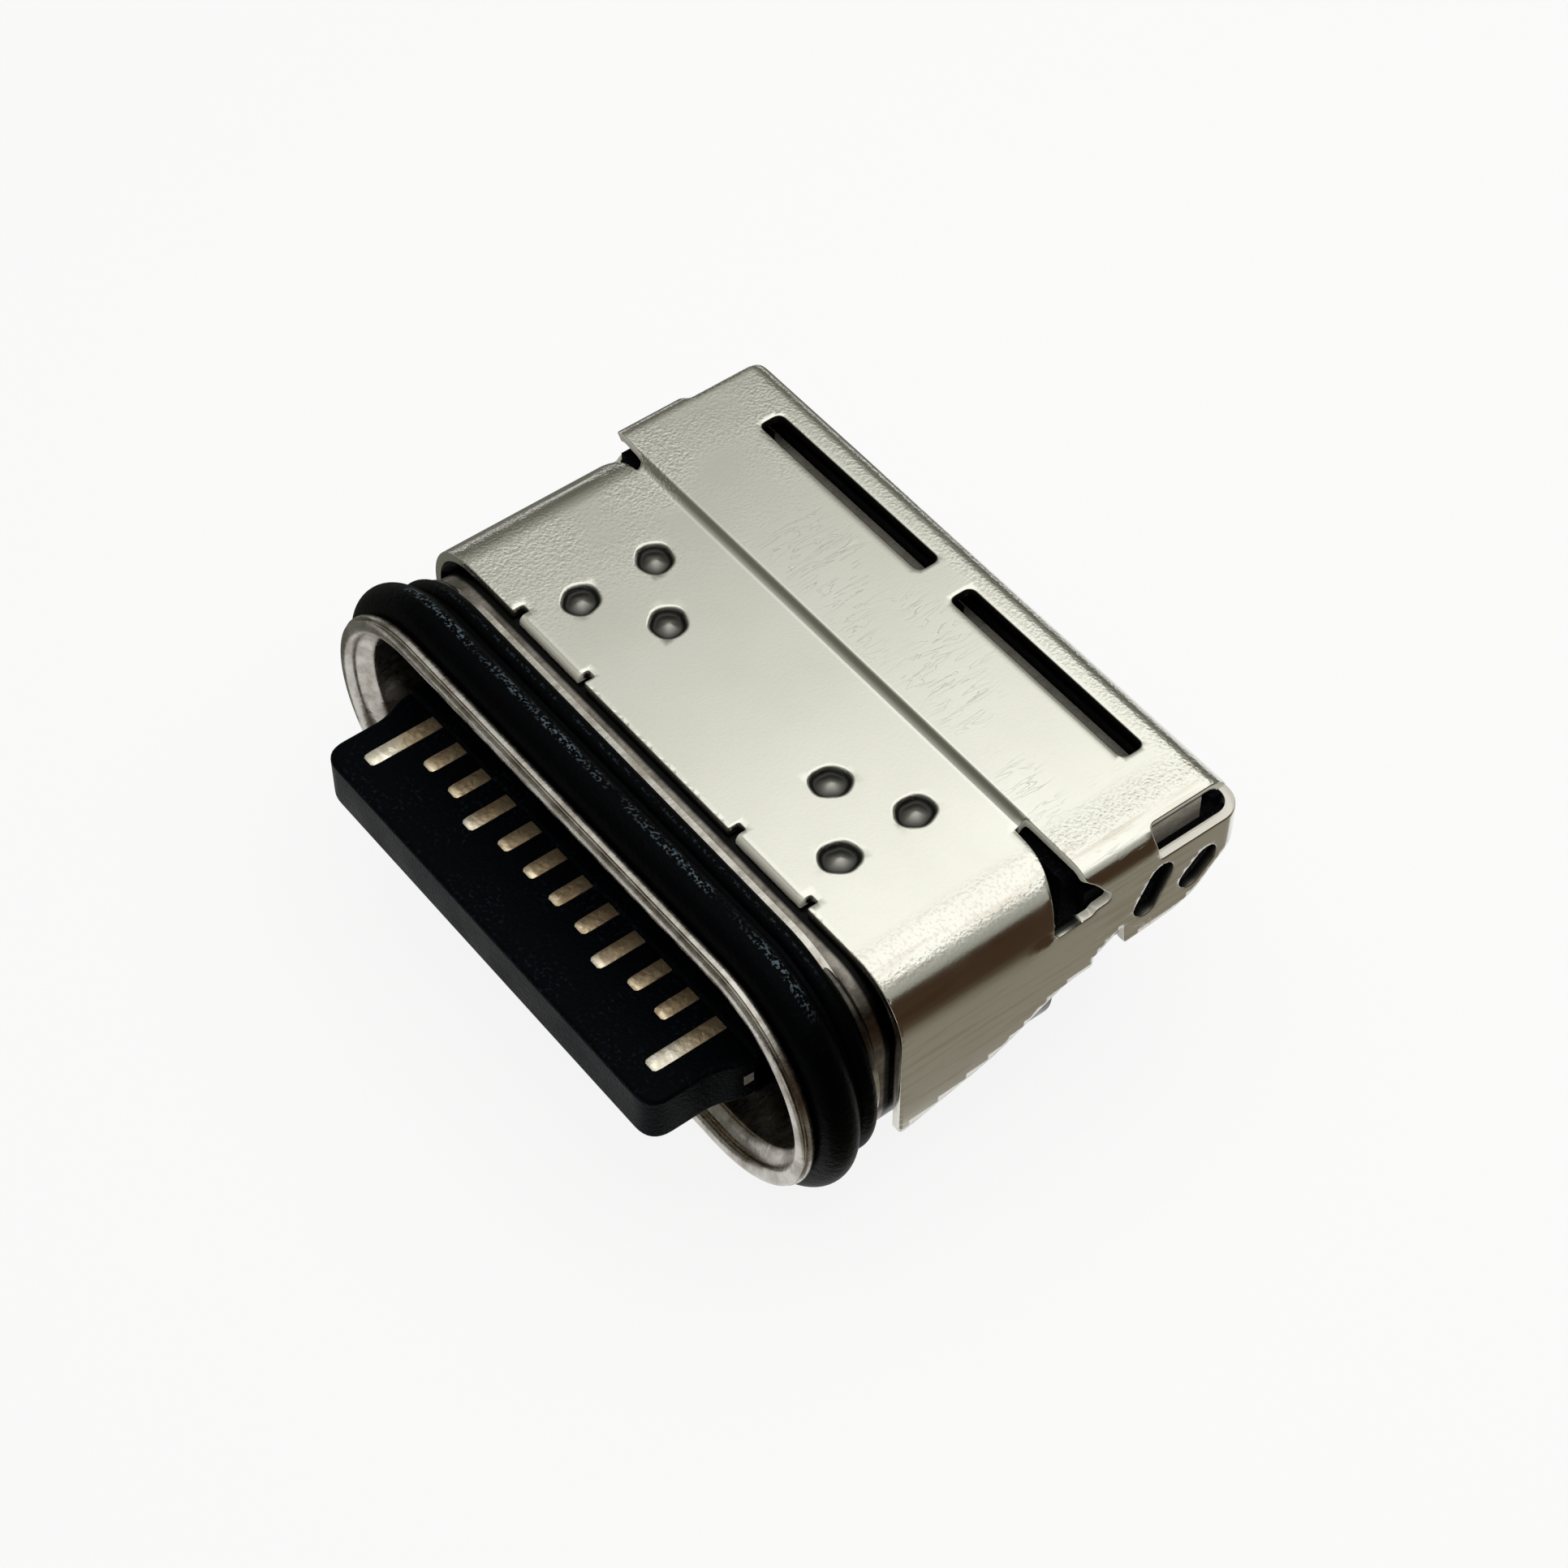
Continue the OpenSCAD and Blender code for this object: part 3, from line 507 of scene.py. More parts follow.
def front_bend(a):
    """x, z and the normal's x and z where the front part's bend carries the blank's place a."""
    length = (a - RELIEF_X) * FRONT_LEN / BLANK
    angle = max(length - FRONT_FLAT, 0.0) / BEND_R
    return (RELIEF_X + min(length, FRONT_FLAT) + BEND_R * math.sin(angle),
            COVER_TOP - BEND_R * (1 - math.cos(angle)), math.sin(angle), math.cos(angle))


def rear_bend(a):
    """The same for the rear plate's tighter fold."""
    length = (a - RELIEF_X) * REAR_LEN / BLANK
    angle = min(max(length - REAR_FLAT, 0.0) / FOLD_R, math.pi / 2)
    return (RELIEF_X + min(length, REAR_FLAT) + FOLD_R * math.sin(angle),
            PLATE_TOP - FOLD_R * (1 - math.cos(angle)) - max(length - REAR_FLAT - REAR_ARC, 0.0),
            math.sin(angle), math.cos(angle))


def side_wall(a, q):
    """The same for the straight wall, whose top still curves in the front part."""
    z = WALL_Z - (a - WALL_P)
    up = max(z - (COVER_TOP - BEND_R), 0.0)
    bent = COVER_HW - BEND_R + math.sqrt(BEND_R ** 2 - up ** 2)
    straight = smooth(q, 3.2, 3.58)
    return bent + (COVER_HW - bent) * straight, z, 1.0, up / BEND_R * (1 - straight)


def rise(q):
    """Share of the rise from the front part to the rear plate: a soft foot and a crisp brow."""
    start, brow = STEP_Y - 0.06, STEP_TOP_Y - 0.03
    if q <= start:
        return 0.0
    if q < brow:
        return 0.86 * ((q - start) / (brow - start)) ** 1.8
    return 0.86 + 0.14 * math.sin(min((q - brow) / (STEP_TOP_Y - brow), 1.0) * math.pi / 2)


def weld_shape(x, y):
    """Height of a weld dimple, a steep pit with a domed middle, and how dark its burn is there."""
    for cx, cy in WELDS:
        turn = math.atan2(y - cy, x - cx)
        wobble = 1 + 0.06 * math.sin(2 * turn + cx * 3 + cy * 5) + 0.025 * math.sin(5 * turn + cx)
        r = math.hypot(x - cx, y - cy) / (WELD_R * wobble)
        if r < 1.0:
            pit, dome = 1 - smooth(r, 0.70, 1.0), 1 - smooth(r, 0.0, 0.72)
            return -WELD_PIT * pit + WELD_DOME * dome, (1 - smooth(r, 0.84, 1.0)) * (1 - 0.42 * dome)
    return 0.0, 0.0


def fold(p, q):
    """Outer surface of the cover: the point and the normal of a place on the blank."""
    side = -1.0 if p < 0 else 1.0
    a = abs(p)
    if a > WALL_P:
        x, z, nx, nz = side_wall(a, q)
    else:
        share = rise(q)
        inner = plate_p(RELIEF_LEFT) if p < 0 else RELIEF_X
        if a > inner:
            beyond = smooth(a, inner, inner + 0.10)
            share += ((1.0 if q > SLIT_Y else 0.0) - share) * beyond
        if a <= RELIEF_X:
            x, z, nx, nz = a, COVER_TOP + share * (PLATE_TOP - COVER_TOP), 0.0, 1.0
        else:
            x, z, nx, nz = (f + (r - f) * share for f, r in zip(front_bend(a), rear_bend(a)))
    y, ny = q, 0.0
    if q > BEND_Q and a < ARM_SIDE_P:
        angle = min((q - BEND_Q) / FOLD_R, math.pi / 2)
        y = BEND_Q + FOLD_R * math.sin(angle)
        z -= FOLD_R * (1 - math.cos(angle)) + max(q - BEND_Q - REAR_ARC, 0.0)
        ny, nz = math.sin(angle), nz * math.cos(angle)
    elif q > ARM_Q and a >= ARM_SIDE_P:
        angle = min((q - ARM_Q) / ARM_R, math.pi / 2)
        x = COVER_HW - ARM_R + ARM_R * math.cos(angle) - max(q - ARM_Q - ARM_ARC, 0.0)
        y = ARM_Q + ARM_R * math.sin(angle)
        nx, ny = math.cos(angle), math.sin(angle)
    elif q < TAB_Q and abs(a - TAB_X) < TAB_HALF + 0.01:
        angle = min((TAB_Q - q) / TAB_BEND, math.pi / 2)
        y = TAB_Q - TAB_BEND * math.sin(angle)
        z -= TAB_BEND * (1 - math.cos(angle)) + max(TAB_Q - q - TAB_BEND * math.pi / 2, 0.0)
        ny, nz = -math.sin(angle), math.cos(angle)
    return Vector((side * x, y, z)), Vector((side * nx, ny, nz)).normalized()


def rounded(points, radius, steps=4):
    """The closed outline with its corners rounded; a point's third number sets its own radius."""
    out = []
    count = len(points)
    for i, point in enumerate(points):
        here = Vector(point[:2])
        before, after = Vector(points[i - 1][:2]), Vector(points[(i + 1) % count][:2])
        r = point[2] if len(point) > 2 else radius
        a, b = before - here, after - here
        reach = min(r, a.length * 0.45, b.length * 0.45)
        if reach < 1e-4 or abs(a.normalized().dot(b.normalized())) > 0.995:
            out.append(tuple(here))
            continue
        start, end = here + a.normalized() * reach, here + b.normalized() * reach
        for k in range(steps + 1):
            t = k / steps
            out.append(tuple(start * (1 - t) ** 2 + here * 2 * t * (1 - t) + end * t ** 2))
    return out


def blank_outline():
    """Outline of the whole blank, drawn for its right half and mirrored."""
    depth = COVER_FRONT + 0.15
    end = TAB_Q - TAB_BEND * math.pi / 2 - (TAB_DROP - TAB_BEND)
    left, right = TAB_X - TAB_HALF, TAB_X + TAB_HALF
    half = [(left - NOTCH_W, COVER_FRONT, 0.03), (left - NOTCH_W, depth, 0.02), (left, depth, 0.02),
            (left, end, 0.03), (right, end, 0.03), (right, depth, 0.02), (right + NOTCH_W, depth, 0.02),
            (right + NOTCH_W, COVER_FRONT, 0.03)]
    half += [(wall_p(-0.92), COVER_FRONT, 0.10), (wall_p(-0.58), STEP_Y - 1.20, 0.3),
             (wall_p(-0.06), STEP_Y - 0.20, 0.2), (wall_p(-0.04), HEEL_Y - 0.72, 0.05),
             (wall_p(0.10), HEEL_Y - 0.72, 0.05), (wall_p(0.36), HEEL_Y - 0.30, 0.06),
             (wall_p(0.0), HEEL_Y - 0.26, 0.05)]
    arm_end = ARM_Q + ARM_ARC + COVER_HW - ARM_R - (REAR_WALL_X - ARM_LAP)
    half += [(wall_p(0.06), REAR_Y - 0.86, 0.2), (wall_p(0.18), REAR_Y - 0.56, 0.2),
             (wall_p(0.58), REAR_Y - 0.20, 0.2), (wall_p(0.80), ARM_Q + ARM_R * 1.08, 0.1),
             (wall_p(0.90), ARM_Q + ARM_ARC, 0.06), (wall_p(0.90), arm_end, 0.06),
             (wall_p(ARM_TOP), arm_end, 0.05), (wall_p(ARM_TOP), WINDOW_Y + 0.02, 0.06)]
    half += [(plate_p(WINDOW_X) + 0.14, WINDOW_Y - 0.02, 0.06), (plate_p(WINDOW_X), WINDOW_Y + 0.03, 0.07),
             (plate_p(WINDOW_X), BEND_Q + REAR_ARC * 0.75, 0.08),
             (plate_p(REAR_WALL_X), BEND_Q + REAR_ARC, 0.05),
             (plate_p(REAR_WALL_X), BEND_Q + REAR_ARC + PLATE_TOP - FOLD_R - REAR_WALL_Z, 0.10)]
    mirrored = [(-point[0], *point[1:]) for point in reversed(half)]
    return rounded(half + mirrored, 0.05)


def relief_hole(inner, corner=0.0):
    """Slit between the front part's bend and the rear plate, and the notch at the fold.

    It starts at x = inner, and corner makes the rear plate's corner rounder.
    """
    start = plate_p(inner)
    front = []
    for step in range(15):
        a = start + step / 14 * (WALL_P - start)
        u = max(front_bend(a)[0] - inner, 0.0) / (COVER_HW - inner)
        front.append((a, RELIEF_Y - RELIEF_SWEEP * u ** 2.2, 0.02))
    low = WALL_Z
    back = [
        (wall_p(low + 0.005), STEP_Y + 0.12, 0.03), (wall_p(low + 0.06), STEP_Y + 0.17, 0.04),
        (wall_p(low + 0.08), STEP_Y + 0.37, 0.05), (wall_p(low + 0.18), STEP_Y + 0.38, 0.08),
        (wall_p(low + 0.28), STEP_Y + 0.29 + corner * 0.5, 0.08),
        (wall_p(low + 0.47), STEP_Y + 0.17 + corner, 0.1),
        (wall_p(low + 0.56), LUG_Y + corner * 0.3, 0.06),
        (start + 0.02, LUG_Y + 0.005, 0.01), (start, LUG_Y - 0.02, 0.01)]
    return rounded(front + back, 0.03)


def slot_hole(centre):
    """Long slot across the rear plate, with its middle at x = centre."""
    left, right = centre - SLOT_HALF, centre + SLOT_HALF
    front, back = REAR_Y - SLOT_BACK - SLOT_HALF_W, REAR_Y - SLOT_BACK + SLOT_HALF_W
    return rounded([(left, front), (right, front), (right, back), (left, back)], SLOT_R, 6)


def side_window(back, z, lean, length, width):
    """A leaning, round-ended window in the side wall."""
    lean, straight, r = math.radians(lean), (length - width) / 2, width / 2
    out = []
    for end in (1, -1):
        for k in range(9):
            turn = math.pi * k / 8
            along_it, across_it = end * (straight + r * math.sin(turn)), end * r * math.cos(turn)
            out.append((wall_p(z) - along_it * math.cos(lean) + across_it * math.sin(lean),
                        REAR_Y - back + along_it * math.sin(lean) + across_it * math.cos(lean)))
    return out


def resampled(outline, step):
    """The closed outline with no edge longer than step."""
    out = []
    for a, b in zip(outline, outline[1:] + outline[:1]):
        pieces = max(1, math.ceil(math.dist(a, b) / step))
        out += along(a, b, pieces)
    return out


def inside(points, outlines):
    """For each point, whether it is inside an odd number of the outlines."""
    result = np.zeros(len(points), bool)
    for outline in outlines:
        a = np.array(outline)
        b = np.roll(a, -1, 0)
        for (ax, ay), (bx, by) in zip(a, b):
            cross = (ay > points[:, 1]) != (by > points[:, 1])
            if by != ay:
                at = ax + (points[:, 1] - ay) / (by - ay) * (bx - ax)
                result ^= cross & (points[:, 0] < at)
    return result


def edge_distance(points, outlines):
    """Distance of each point from the nearest outline."""
    best = np.full(len(points), 1e9)
    for outline in outlines:
        a = np.array(outline)
        b = np.roll(a, -1, 0)
        for start, end in zip(a, b):
            d = end - start
            t = np.clip(((points - start) @ d) / max(d @ d, 1e-12), 0, 1)
            best = np.minimum(best, np.hypot(*(points - start - t[:, None] * d).T))
    return best


def lines(*spans):
    """Grid lines over spans of (start, end, spacing), in order."""
    out = []
    for start, end, spacing in spans:
        out += list(np.linspace(start, end, max(2, round((end - start) / spacing) + 1))[:-1])
    return np.array(out + [spans[-1][1]])


def cover_sheet():
    """Meshes the blank with its holes, folds it, and gives it its thickness."""
    windows = [side_window(*window) for window in SIDE_WINDOWS]
    left = [[(-p, q) for p, q in hole] for hole in (relief_hole(RELIEF_LEFT, LEFT_CORNER), *windows)]
    holes = [relief_hole(RELIEF_X), *windows, *left, slot_hole(SLOT_X), slot_hole(-SLOT_X)]
    outlines = [resampled(outline, OUTLINE_STEP) for outline in [blank_outline(), *holes]]
    right = lines((0, RELIEF_X, 0.11), (RELIEF_X, WALL_P, 0.045), (WALL_P, 6.8, 0.10))
    across = np.concatenate([-right[:0:-1], right])
    depth = lines((1.30, 1.56, 0.022), (1.56, 3.90, 0.10), (3.90, 4.12, 0.012), (4.12, BEND_Q, 0.10),
                  (BEND_Q, 6.62, 0.035), (6.62, 7.42, 0.12))
    grid = np.array([(p, q) for p in across for q in depth])
    rings = [np.array([(cx + WELD_R * 1.1 * r * math.cos(t), cy + WELD_R * 1.1 * r * math.sin(t))
                       for r in np.linspace(0.06, 1.0, 14) for t in np.linspace(0, 2 * math.pi, 41)[:-1]])
             for cx, cy in WELDS]
    clear = np.ones(len(grid), bool)
    for cx, cy in WELDS:
        clear &= np.hypot(grid[:, 0] - cx, grid[:, 1] - cy) > WELD_R * 1.18
    grid = np.concatenate([grid[clear], *rings])
    grid = grid[inside(grid, outlines)]
    grid = grid[edge_distance(grid, outlines) > GRID_ROOM]
    rims = []
    for outline in outlines:
        a = np.array(outline)
        tangent = np.roll(a, -1, 0) - np.roll(a, 1, 0)
        normal = np.stack([-tangent[:, 1], tangent[:, 0]], 1)
        normal /= np.maximum(np.hypot(*normal.T), 1e-9)[:, None]
        for offset in ROLL_ROWS:
            for sign in (1, -1):
                rims.append(a + normal * offset * sign)
    rims = np.concatenate(rims)
    rims = rims[inside(rims, outlines)]
    rims = rims[edge_distance(rims, outlines) > ROLL_ROWS[0] * 0.75]
    border = [point for outline in outlines for point in outline]
    edges, start = [], 0
    for outline in outlines:
        count = len(outline)
        edges += [(start + i, start + (i + 1) % count) for i in range(count)]
        start += count
    points = [Vector(p) for p in border] + [Vector(p) for p in rims] + [Vector(p) for p in grid]
    flat, _, triangles, *_ = delaunay_2d_cdt(points, edges, [], 0, 1e-5)
    flat = np.array([tuple(p) for p in flat])
    triangles = np.array(triangles)
    triangles = triangles[inside(flat[triangles].mean(1), outlines)]
    used, packed = np.unique(triangles, return_inverse=True)
    flat, triangles = flat[used], packed.reshape(-1, 3)
    rolled = edge_distance(flat, outlines)
    on_relief = edge_distance(flat, [outlines[1], outlines[4]]) < ON_EDGE
    on_relief &= flat[:, 1] > SLIT_Y
    # Painted shade: the edges of the holes, except the relief slits' rear edges, are painted near black.
    dark = (edge_distance(flat, outlines[1:]) < ON_EDGE) & ~on_relief
    bright = edge_distance(flat, outlines[:1]) < ON_EDGE
    outer, inner, burn_and_shade = [], [], []
    for (p, q), d, edge_in_shade in zip(flat, rolled, dark):
        point, normal = fold(p, q)
        depth, burn = weld_shape(p, q)
        outer.append(tuple(point + normal * (depth - ROLL * (1 - min(d / ROLL_ROWS[1], 1.0)) ** 2)))
        inner.append(tuple(point + normal * (depth - SHEET_T)))
        # Painted shade at hole edges, the welds' own burn elsewhere.
        burn_and_shade.append(0.9 if edge_in_shade else burn)
    count = len(outer)
    faces = [tuple(t) for t in triangles.tolist()]
    used_by = {}
    for face in faces:
        for a, b in zip(face, face[1:] + face[:1]):
            used_by[frozenset((a, b))] = None if frozenset((a, b)) in used_by else (a, b)
    rim = [(b, a, a + count, b + count) for a, b in filter(None, used_by.values())]
    mesh_faces = faces + [tuple(i + count for i in reversed(face)) for face in faces] + rim
    obj = new_object("cover", outer + inner, mesh_faces, 60)
    if len(obj.data.vertices) != 2 * count:
        raise ValueError("the folded sheet has points on top of each other")
    # Painted shade: the sheet's underside is near black, except under the relief slits' rear edges and the
    # outer outline.
    under = [0.1 if edge else 1.0 for edge in on_relief | bright]
    obj.data.attributes.new("burn_and_shade", "FLOAT", "POINT").data.foreach_set("value", burn_and_shade + under)
    on_tab = (flat[:, 1] < TAB_Q - 0.05) & (np.abs(np.abs(flat[:, 0]) - TAB_X) < TAB_HALF + 0.01)
    sheared = (on_relief | on_tab | (bright & (flat[:, 1] > TAB_Q + 0.3))).astype(float).tolist()
    obj.data.attributes.new("sheared", "FLOAT", "POINT").data.foreach_set("value", sheared * 2)
    return obj


# --- Contacts and tongue ------------------------------------------------------------------------
def strip(name, path, width, thick, x, soft=0.022):
    """A flat strip with softened edges swept along a side-view path of (y, z), its outer face first."""
    verts, faces = [], []
    total = len(path)
    for i, (y, z) in enumerate(path):
        before, after = path[max(i - 1, 0)], path[min(i + 1, total - 1)]
        run = Vector((after[0] - before[0], after[1] - before[1])).normalized()
        out = Vector((-run.y, run.x))
        ends = (0.06, 0.028, 0.008)
        pinch = ends[i] if i < 3 else ends[total - 1 - i] if total - 1 - i < 3 else 0.0
        half, t = width / 2 - pinch, thick / 2 - pinch * 0.35
        section = [(-half + soft, t), (half - soft, t), (half - soft * 0.3, t - soft * 0.3),
                   (half, t - soft), (half, -t + soft), (half - soft, -t), (-half + soft, -t),
                   (-half, -t + soft), (-half, t - soft), (-half + soft * 0.3, t - soft * 0.3)]
        for across, up in section:
            verts.append((x + across, y + out.x * up, z + out.y * up))
    n = len(section)
    for i in range(total - 1):
        faces += [(i * n + k, i * n + (k + 1) % n, (i + 1) * n + (k + 1) % n, (i + 1) * n + k)
                  for k in range(n)]
    faces += [tuple(range(n)), tuple(range((total - 1) * n, total * n))]
    return new_object(name, verts, faces, 40)


def contact_path(front, blade_z, leg_y):
    """Middle line of a contact: blade, bend down, leg, bend back and solder tail."""
    r, half = CONTACT_BEND + CONTACT_T / 2, CONTACT_T / 2
    foot = BOARD_Z + half
    middle = blade_z + half
    path = [(front, middle - 0.012), (front + 0.02, middle - 0.003), (front + 0.05, middle)]
    path += along((front + 0.12, middle), (leg_y + half - r, middle), 18)
    path += arc(leg_y + half - r, middle - r, r, 90, 0, 8)
    path += along((leg_y + half, middle - r - 0.05), (leg_y + half, foot + r + 0.05), 6)
    path += arc(leg_y + half + r, foot + r, r, 180, 270, 8)
    end = leg_y + half + r + TAIL_LEN
    return path + along((leg_y + half + r + 0.05, foot), (end - 0.05, foot), 4) + [
        (end - 0.05, foot), (end - 0.02, foot + 0.003), (end, foot + 0.01)]


def contacts(material):
    """Both rows, each contact's front end where the CAD has it."""
    upper_leg, lower_leg = BLOCK_BACK - LEG_IN, BLOCK_BACK - LEG_IN - LEG_GAP
    upper_z = TONGUE_T / 2 + CONTACT_PROUD - CONTACT_T
    for row, blade_z, leg in (("a", upper_z, upper_leg), ("b", -upper_z - CONTACT_T, lower_leg)):
        for n in range(1, 13):
            node = f"contact_{row}{n}"
            front = (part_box(node)[0].y - MOUTH.y) / MM
            x = (n - 6.5) * PITCH
            piece = strip(f"gold_{row}{n}", contact_path(front, blade_z, leg), CONTACT_W, CONTACT_T, x)
            finish_piece(piece, material, "contact_gold", node)


def prism(outline, z0, z1):
    """Closed prism of a plan outline between two heights."""
    n = len(outline)
    verts = [(x, y, z0) for x, y in outline] + [(x, y, z1) for x, y in outline]
    faces = [tuple(range(n))[::-1], tuple(range(n, 2 * n))]
    faces += [(i, (i + 1) % n, n + (i + 1) % n, n + i) for i in range(n)]
    return verts, faces


def joined(name, shells, smooth_angle=35):
    """One object of several closed shells."""
    verts, faces = [], []
    for shell_verts, shell_faces in shells:
        start = len(verts)
        verts += shell_verts
        faces += [tuple(start + i for i in face) for face in shell_faces]
    return new_object(name, verts, faces, smooth_angle)


def tongue():
    """Overmoulded tongue: the slab, the skin over its contacts, the root step and the plug."""
    nose = -TONGUE_OUT
    tip, root = TIP_W / 2, TONGUE_W / 2
    right = [(root, ROOT_BACK, 0), (root, 0.10, 0.2), (tip, -0.20, 0.2), (tip, nose, TIP_R)]
    plan = rounded(right + [(-x, y, r) for x, y, r in reversed(right)], 0.1, 8)
    slab = prism(plan, -TONGUE_T / 2, TONGUE_T / 2)
    side = root + ROOT_SIDE
    step = prism([(side, ROOT_BACK), (side, ROOT_FRONT), (-side, ROOT_FRONT), (-side, ROOT_BACK)],
                 -ROOT_HH, ROOT_HH)
    wall_w, wall_h = INNER_HW - INNER_T, INNER_HH - INNER_T
    corner = INNER_R - INNER_T
    loop = rounded([(wall_w, -wall_h), (wall_w, wall_h), (-wall_w, wall_h), (-wall_w, -wall_h)],
                   corner * 1.3, 8)
    plug_verts, plug_faces = prism(loop, ROOT_BACK, INNER_END - 0.2)
    plug = [(x, y, z) for x, z, y in plug_verts], plug_faces
    skin_back, skin_hh = ROOT_FRONT + 0.1, TONGUE_T / 2 + SKIN_T
    skin = prism([(root, skin_back), (root, SKIN_FRONT), (-root, SKIN_FRONT), (-root, skin_back)],
                 -skin_hh, skin_hh)
    obj = joined("tongue", [slab, skin, step, plug])
    bevel = obj.modifiers.new("edges", "BEVEL")
    bevel.width = 0.06 * MM
    bevel.segments = 4
    bevel.limit_method = "ANGLE"
    bevel.angle_limit = math.radians(40)
    return obj


def block_sides():
    """The black moulding's sides and rear corners, seen through the cover's openings."""
    top, near, far, strip_hw = 1.20, 4.21, 4.31, 4.16
    side = [(4.10, -0.02), (4.92, 0.03), (5.42, 0.09), (5.72, 0.22), (6.08, 0.62), (6.24, 0.74),
            (6.24, 1.10), (5.00, 1.10), (4.90, top), (4.10, top)]
    shells = []
    for s in (-1, 1):
        verts, faces = prism(side, s * near, s * far)
        shells.append(([(x, y, z) for y, z, x in verts], faces))
    front, rear = REAR_Y - 0.365, REAR_Y - 0.03
    plan = [(-strip_hw, front), (strip_hw, front), (strip_hw, rear), (-strip_hw, rear)]
    shells.append(prism(plan, 0.62, top))
    return joined("block_sides", shells)


def bracket_lips():
    """Rear ends of the bracket's lips, up to the rear fold."""
    near, far, front, rear = 3.86, 4.10, 5.86, 6.15
    shells = []
    for s in (-1, 1):
        plan = rounded([(s * near, front, 0.01), (s * far, front, 0.01),
                        (s * far, rear, 0.08), (s * near, rear, 0.08)], 0.02)
        shells.append(prism(plan, INNER_HH + 0.01, INNER_HH + 0.099))
    return joined("bracket_lips", shells)


# --- Stage --------------------------------------------------------------------------------------
def simple_material(name, colour, roughness):
    material = bpy.data.materials.new(name)
    material.use_nodes = True
    shader = material.node_tree.nodes["Principled BSDF"]
    shader.inputs["Base Color"].default_value = (*colour, 1)
    shader.inputs["Roughness"].default_value = roughness
    return material


def graded(name, stops):
    """Glowing cloth whose radiance runs across the card's width, from stop to stop."""
    material = bpy.data.materials.new(name)
    material.use_nodes = True
    tree = material.node_tree
    tree.nodes.remove(tree.nodes["Principled BSDF"])
    glow, coords, split, ramp = (tree.nodes.new("ShaderNode" + kind)
                                 for kind in ("Emission", "TexCoord", "SeparateXYZ", "ValToRGB"))
    elements = ramp.color_ramp.elements
    while len(elements) < len(stops):
        elements.new(0.5)
    for element, (at, colour) in zip(elements, stops):
        element.position, element.color = at, (*(c / 2 for c in colour), 1)
    glow.inputs["Strength"].default_value = 2.0
    tree.links.new(coords.outputs["Generated"], split.inputs[0])
    tree.links.new(split.outputs[0], ramp.inputs["Fac"])
    tree.links.new(ramp.outputs["Color"], glow.inputs["Color"])
    tree.links.new(glow.outputs[0], tree.nodes["Material Output"].inputs["Surface"])
    return material


def card(name, centre, turn, width, height, stops, lights=False):
    """A studio card turned about y: seen in reflections alone, unless it also lights the part."""
    mesh = bpy.data.meshes.new(name)
    w, h = width / 2 * MM, height / 2 * MM
    mesh.from_pydata([(-w, -h, 0), (w, -h, 0), (w, h, 0), (-w, h, 0)], [], [(0, 1, 2, 3)])
    mesh.materials.append(graded(name + "_cloth", stops))
    obj = bpy.data.objects.new(name, mesh)
    bpy.context.scene.collection.objects.link(obj)
    obj.location = place(*centre)
    obj.rotation_euler.y = math.radians(turn)
    obj.visible_camera = obj.visible_shadow = False
    obj.visible_diffuse = lights


def lamp(name, centre, width, height, radiance):
    """A soft area lamp shining straight down."""
    light = bpy.data.lights.new(name, "AREA")
    light.shape = "RECTANGLE"
    light.size, light.size_y = width * MM, height * MM
    light.energy = radiance * math.pi * light.size * light.size_y
    obj = bpy.data.objects.new(name, light)
    bpy.context.scene.collection.objects.link(obj)
    obj.location = place(*centre)


def paper():
    """Pale floor paper, lit up for the camera so that the background is white round a soft shadow."""
    material = simple_material("floor_paper", (0.93, 0.93, 0.93), 0.95)
    tree = material.node_tree
    shader = tree.nodes["Principled BSDF"]
    path = tree.nodes.new("ShaderNodeLightPath")
    glow, share, blend = (tree.nodes.new("ShaderNode" + kind) for kind in ("Emission", "Math", "MixShader"))
    share.operation = "MULTIPLY"
    share.inputs[1].default_value = 0.88
    seen = path.outputs["Is Camera Ray"]
    for ray in ("Is Glossy Ray", "Is Transmission Ray"):
        either = tree.nodes.new("ShaderNodeMath")
        either.operation = "MAXIMUM"
        tree.links.new(seen, either.inputs[0])
        tree.links.new(path.outputs[ray], either.inputs[1])
        seen = either.outputs[0]
    tree.links.new(seen, share.inputs[0])
    tree.links.new(share.outputs[0], blend.inputs[0])
    tree.links.new(shader.outputs[0], blend.inputs[1])
    tree.links.new(glow.outputs[0], blend.inputs[2])
    tree.links.new(blend.outputs[0], tree.nodes["Material Output"].inputs["Surface"])
    return material


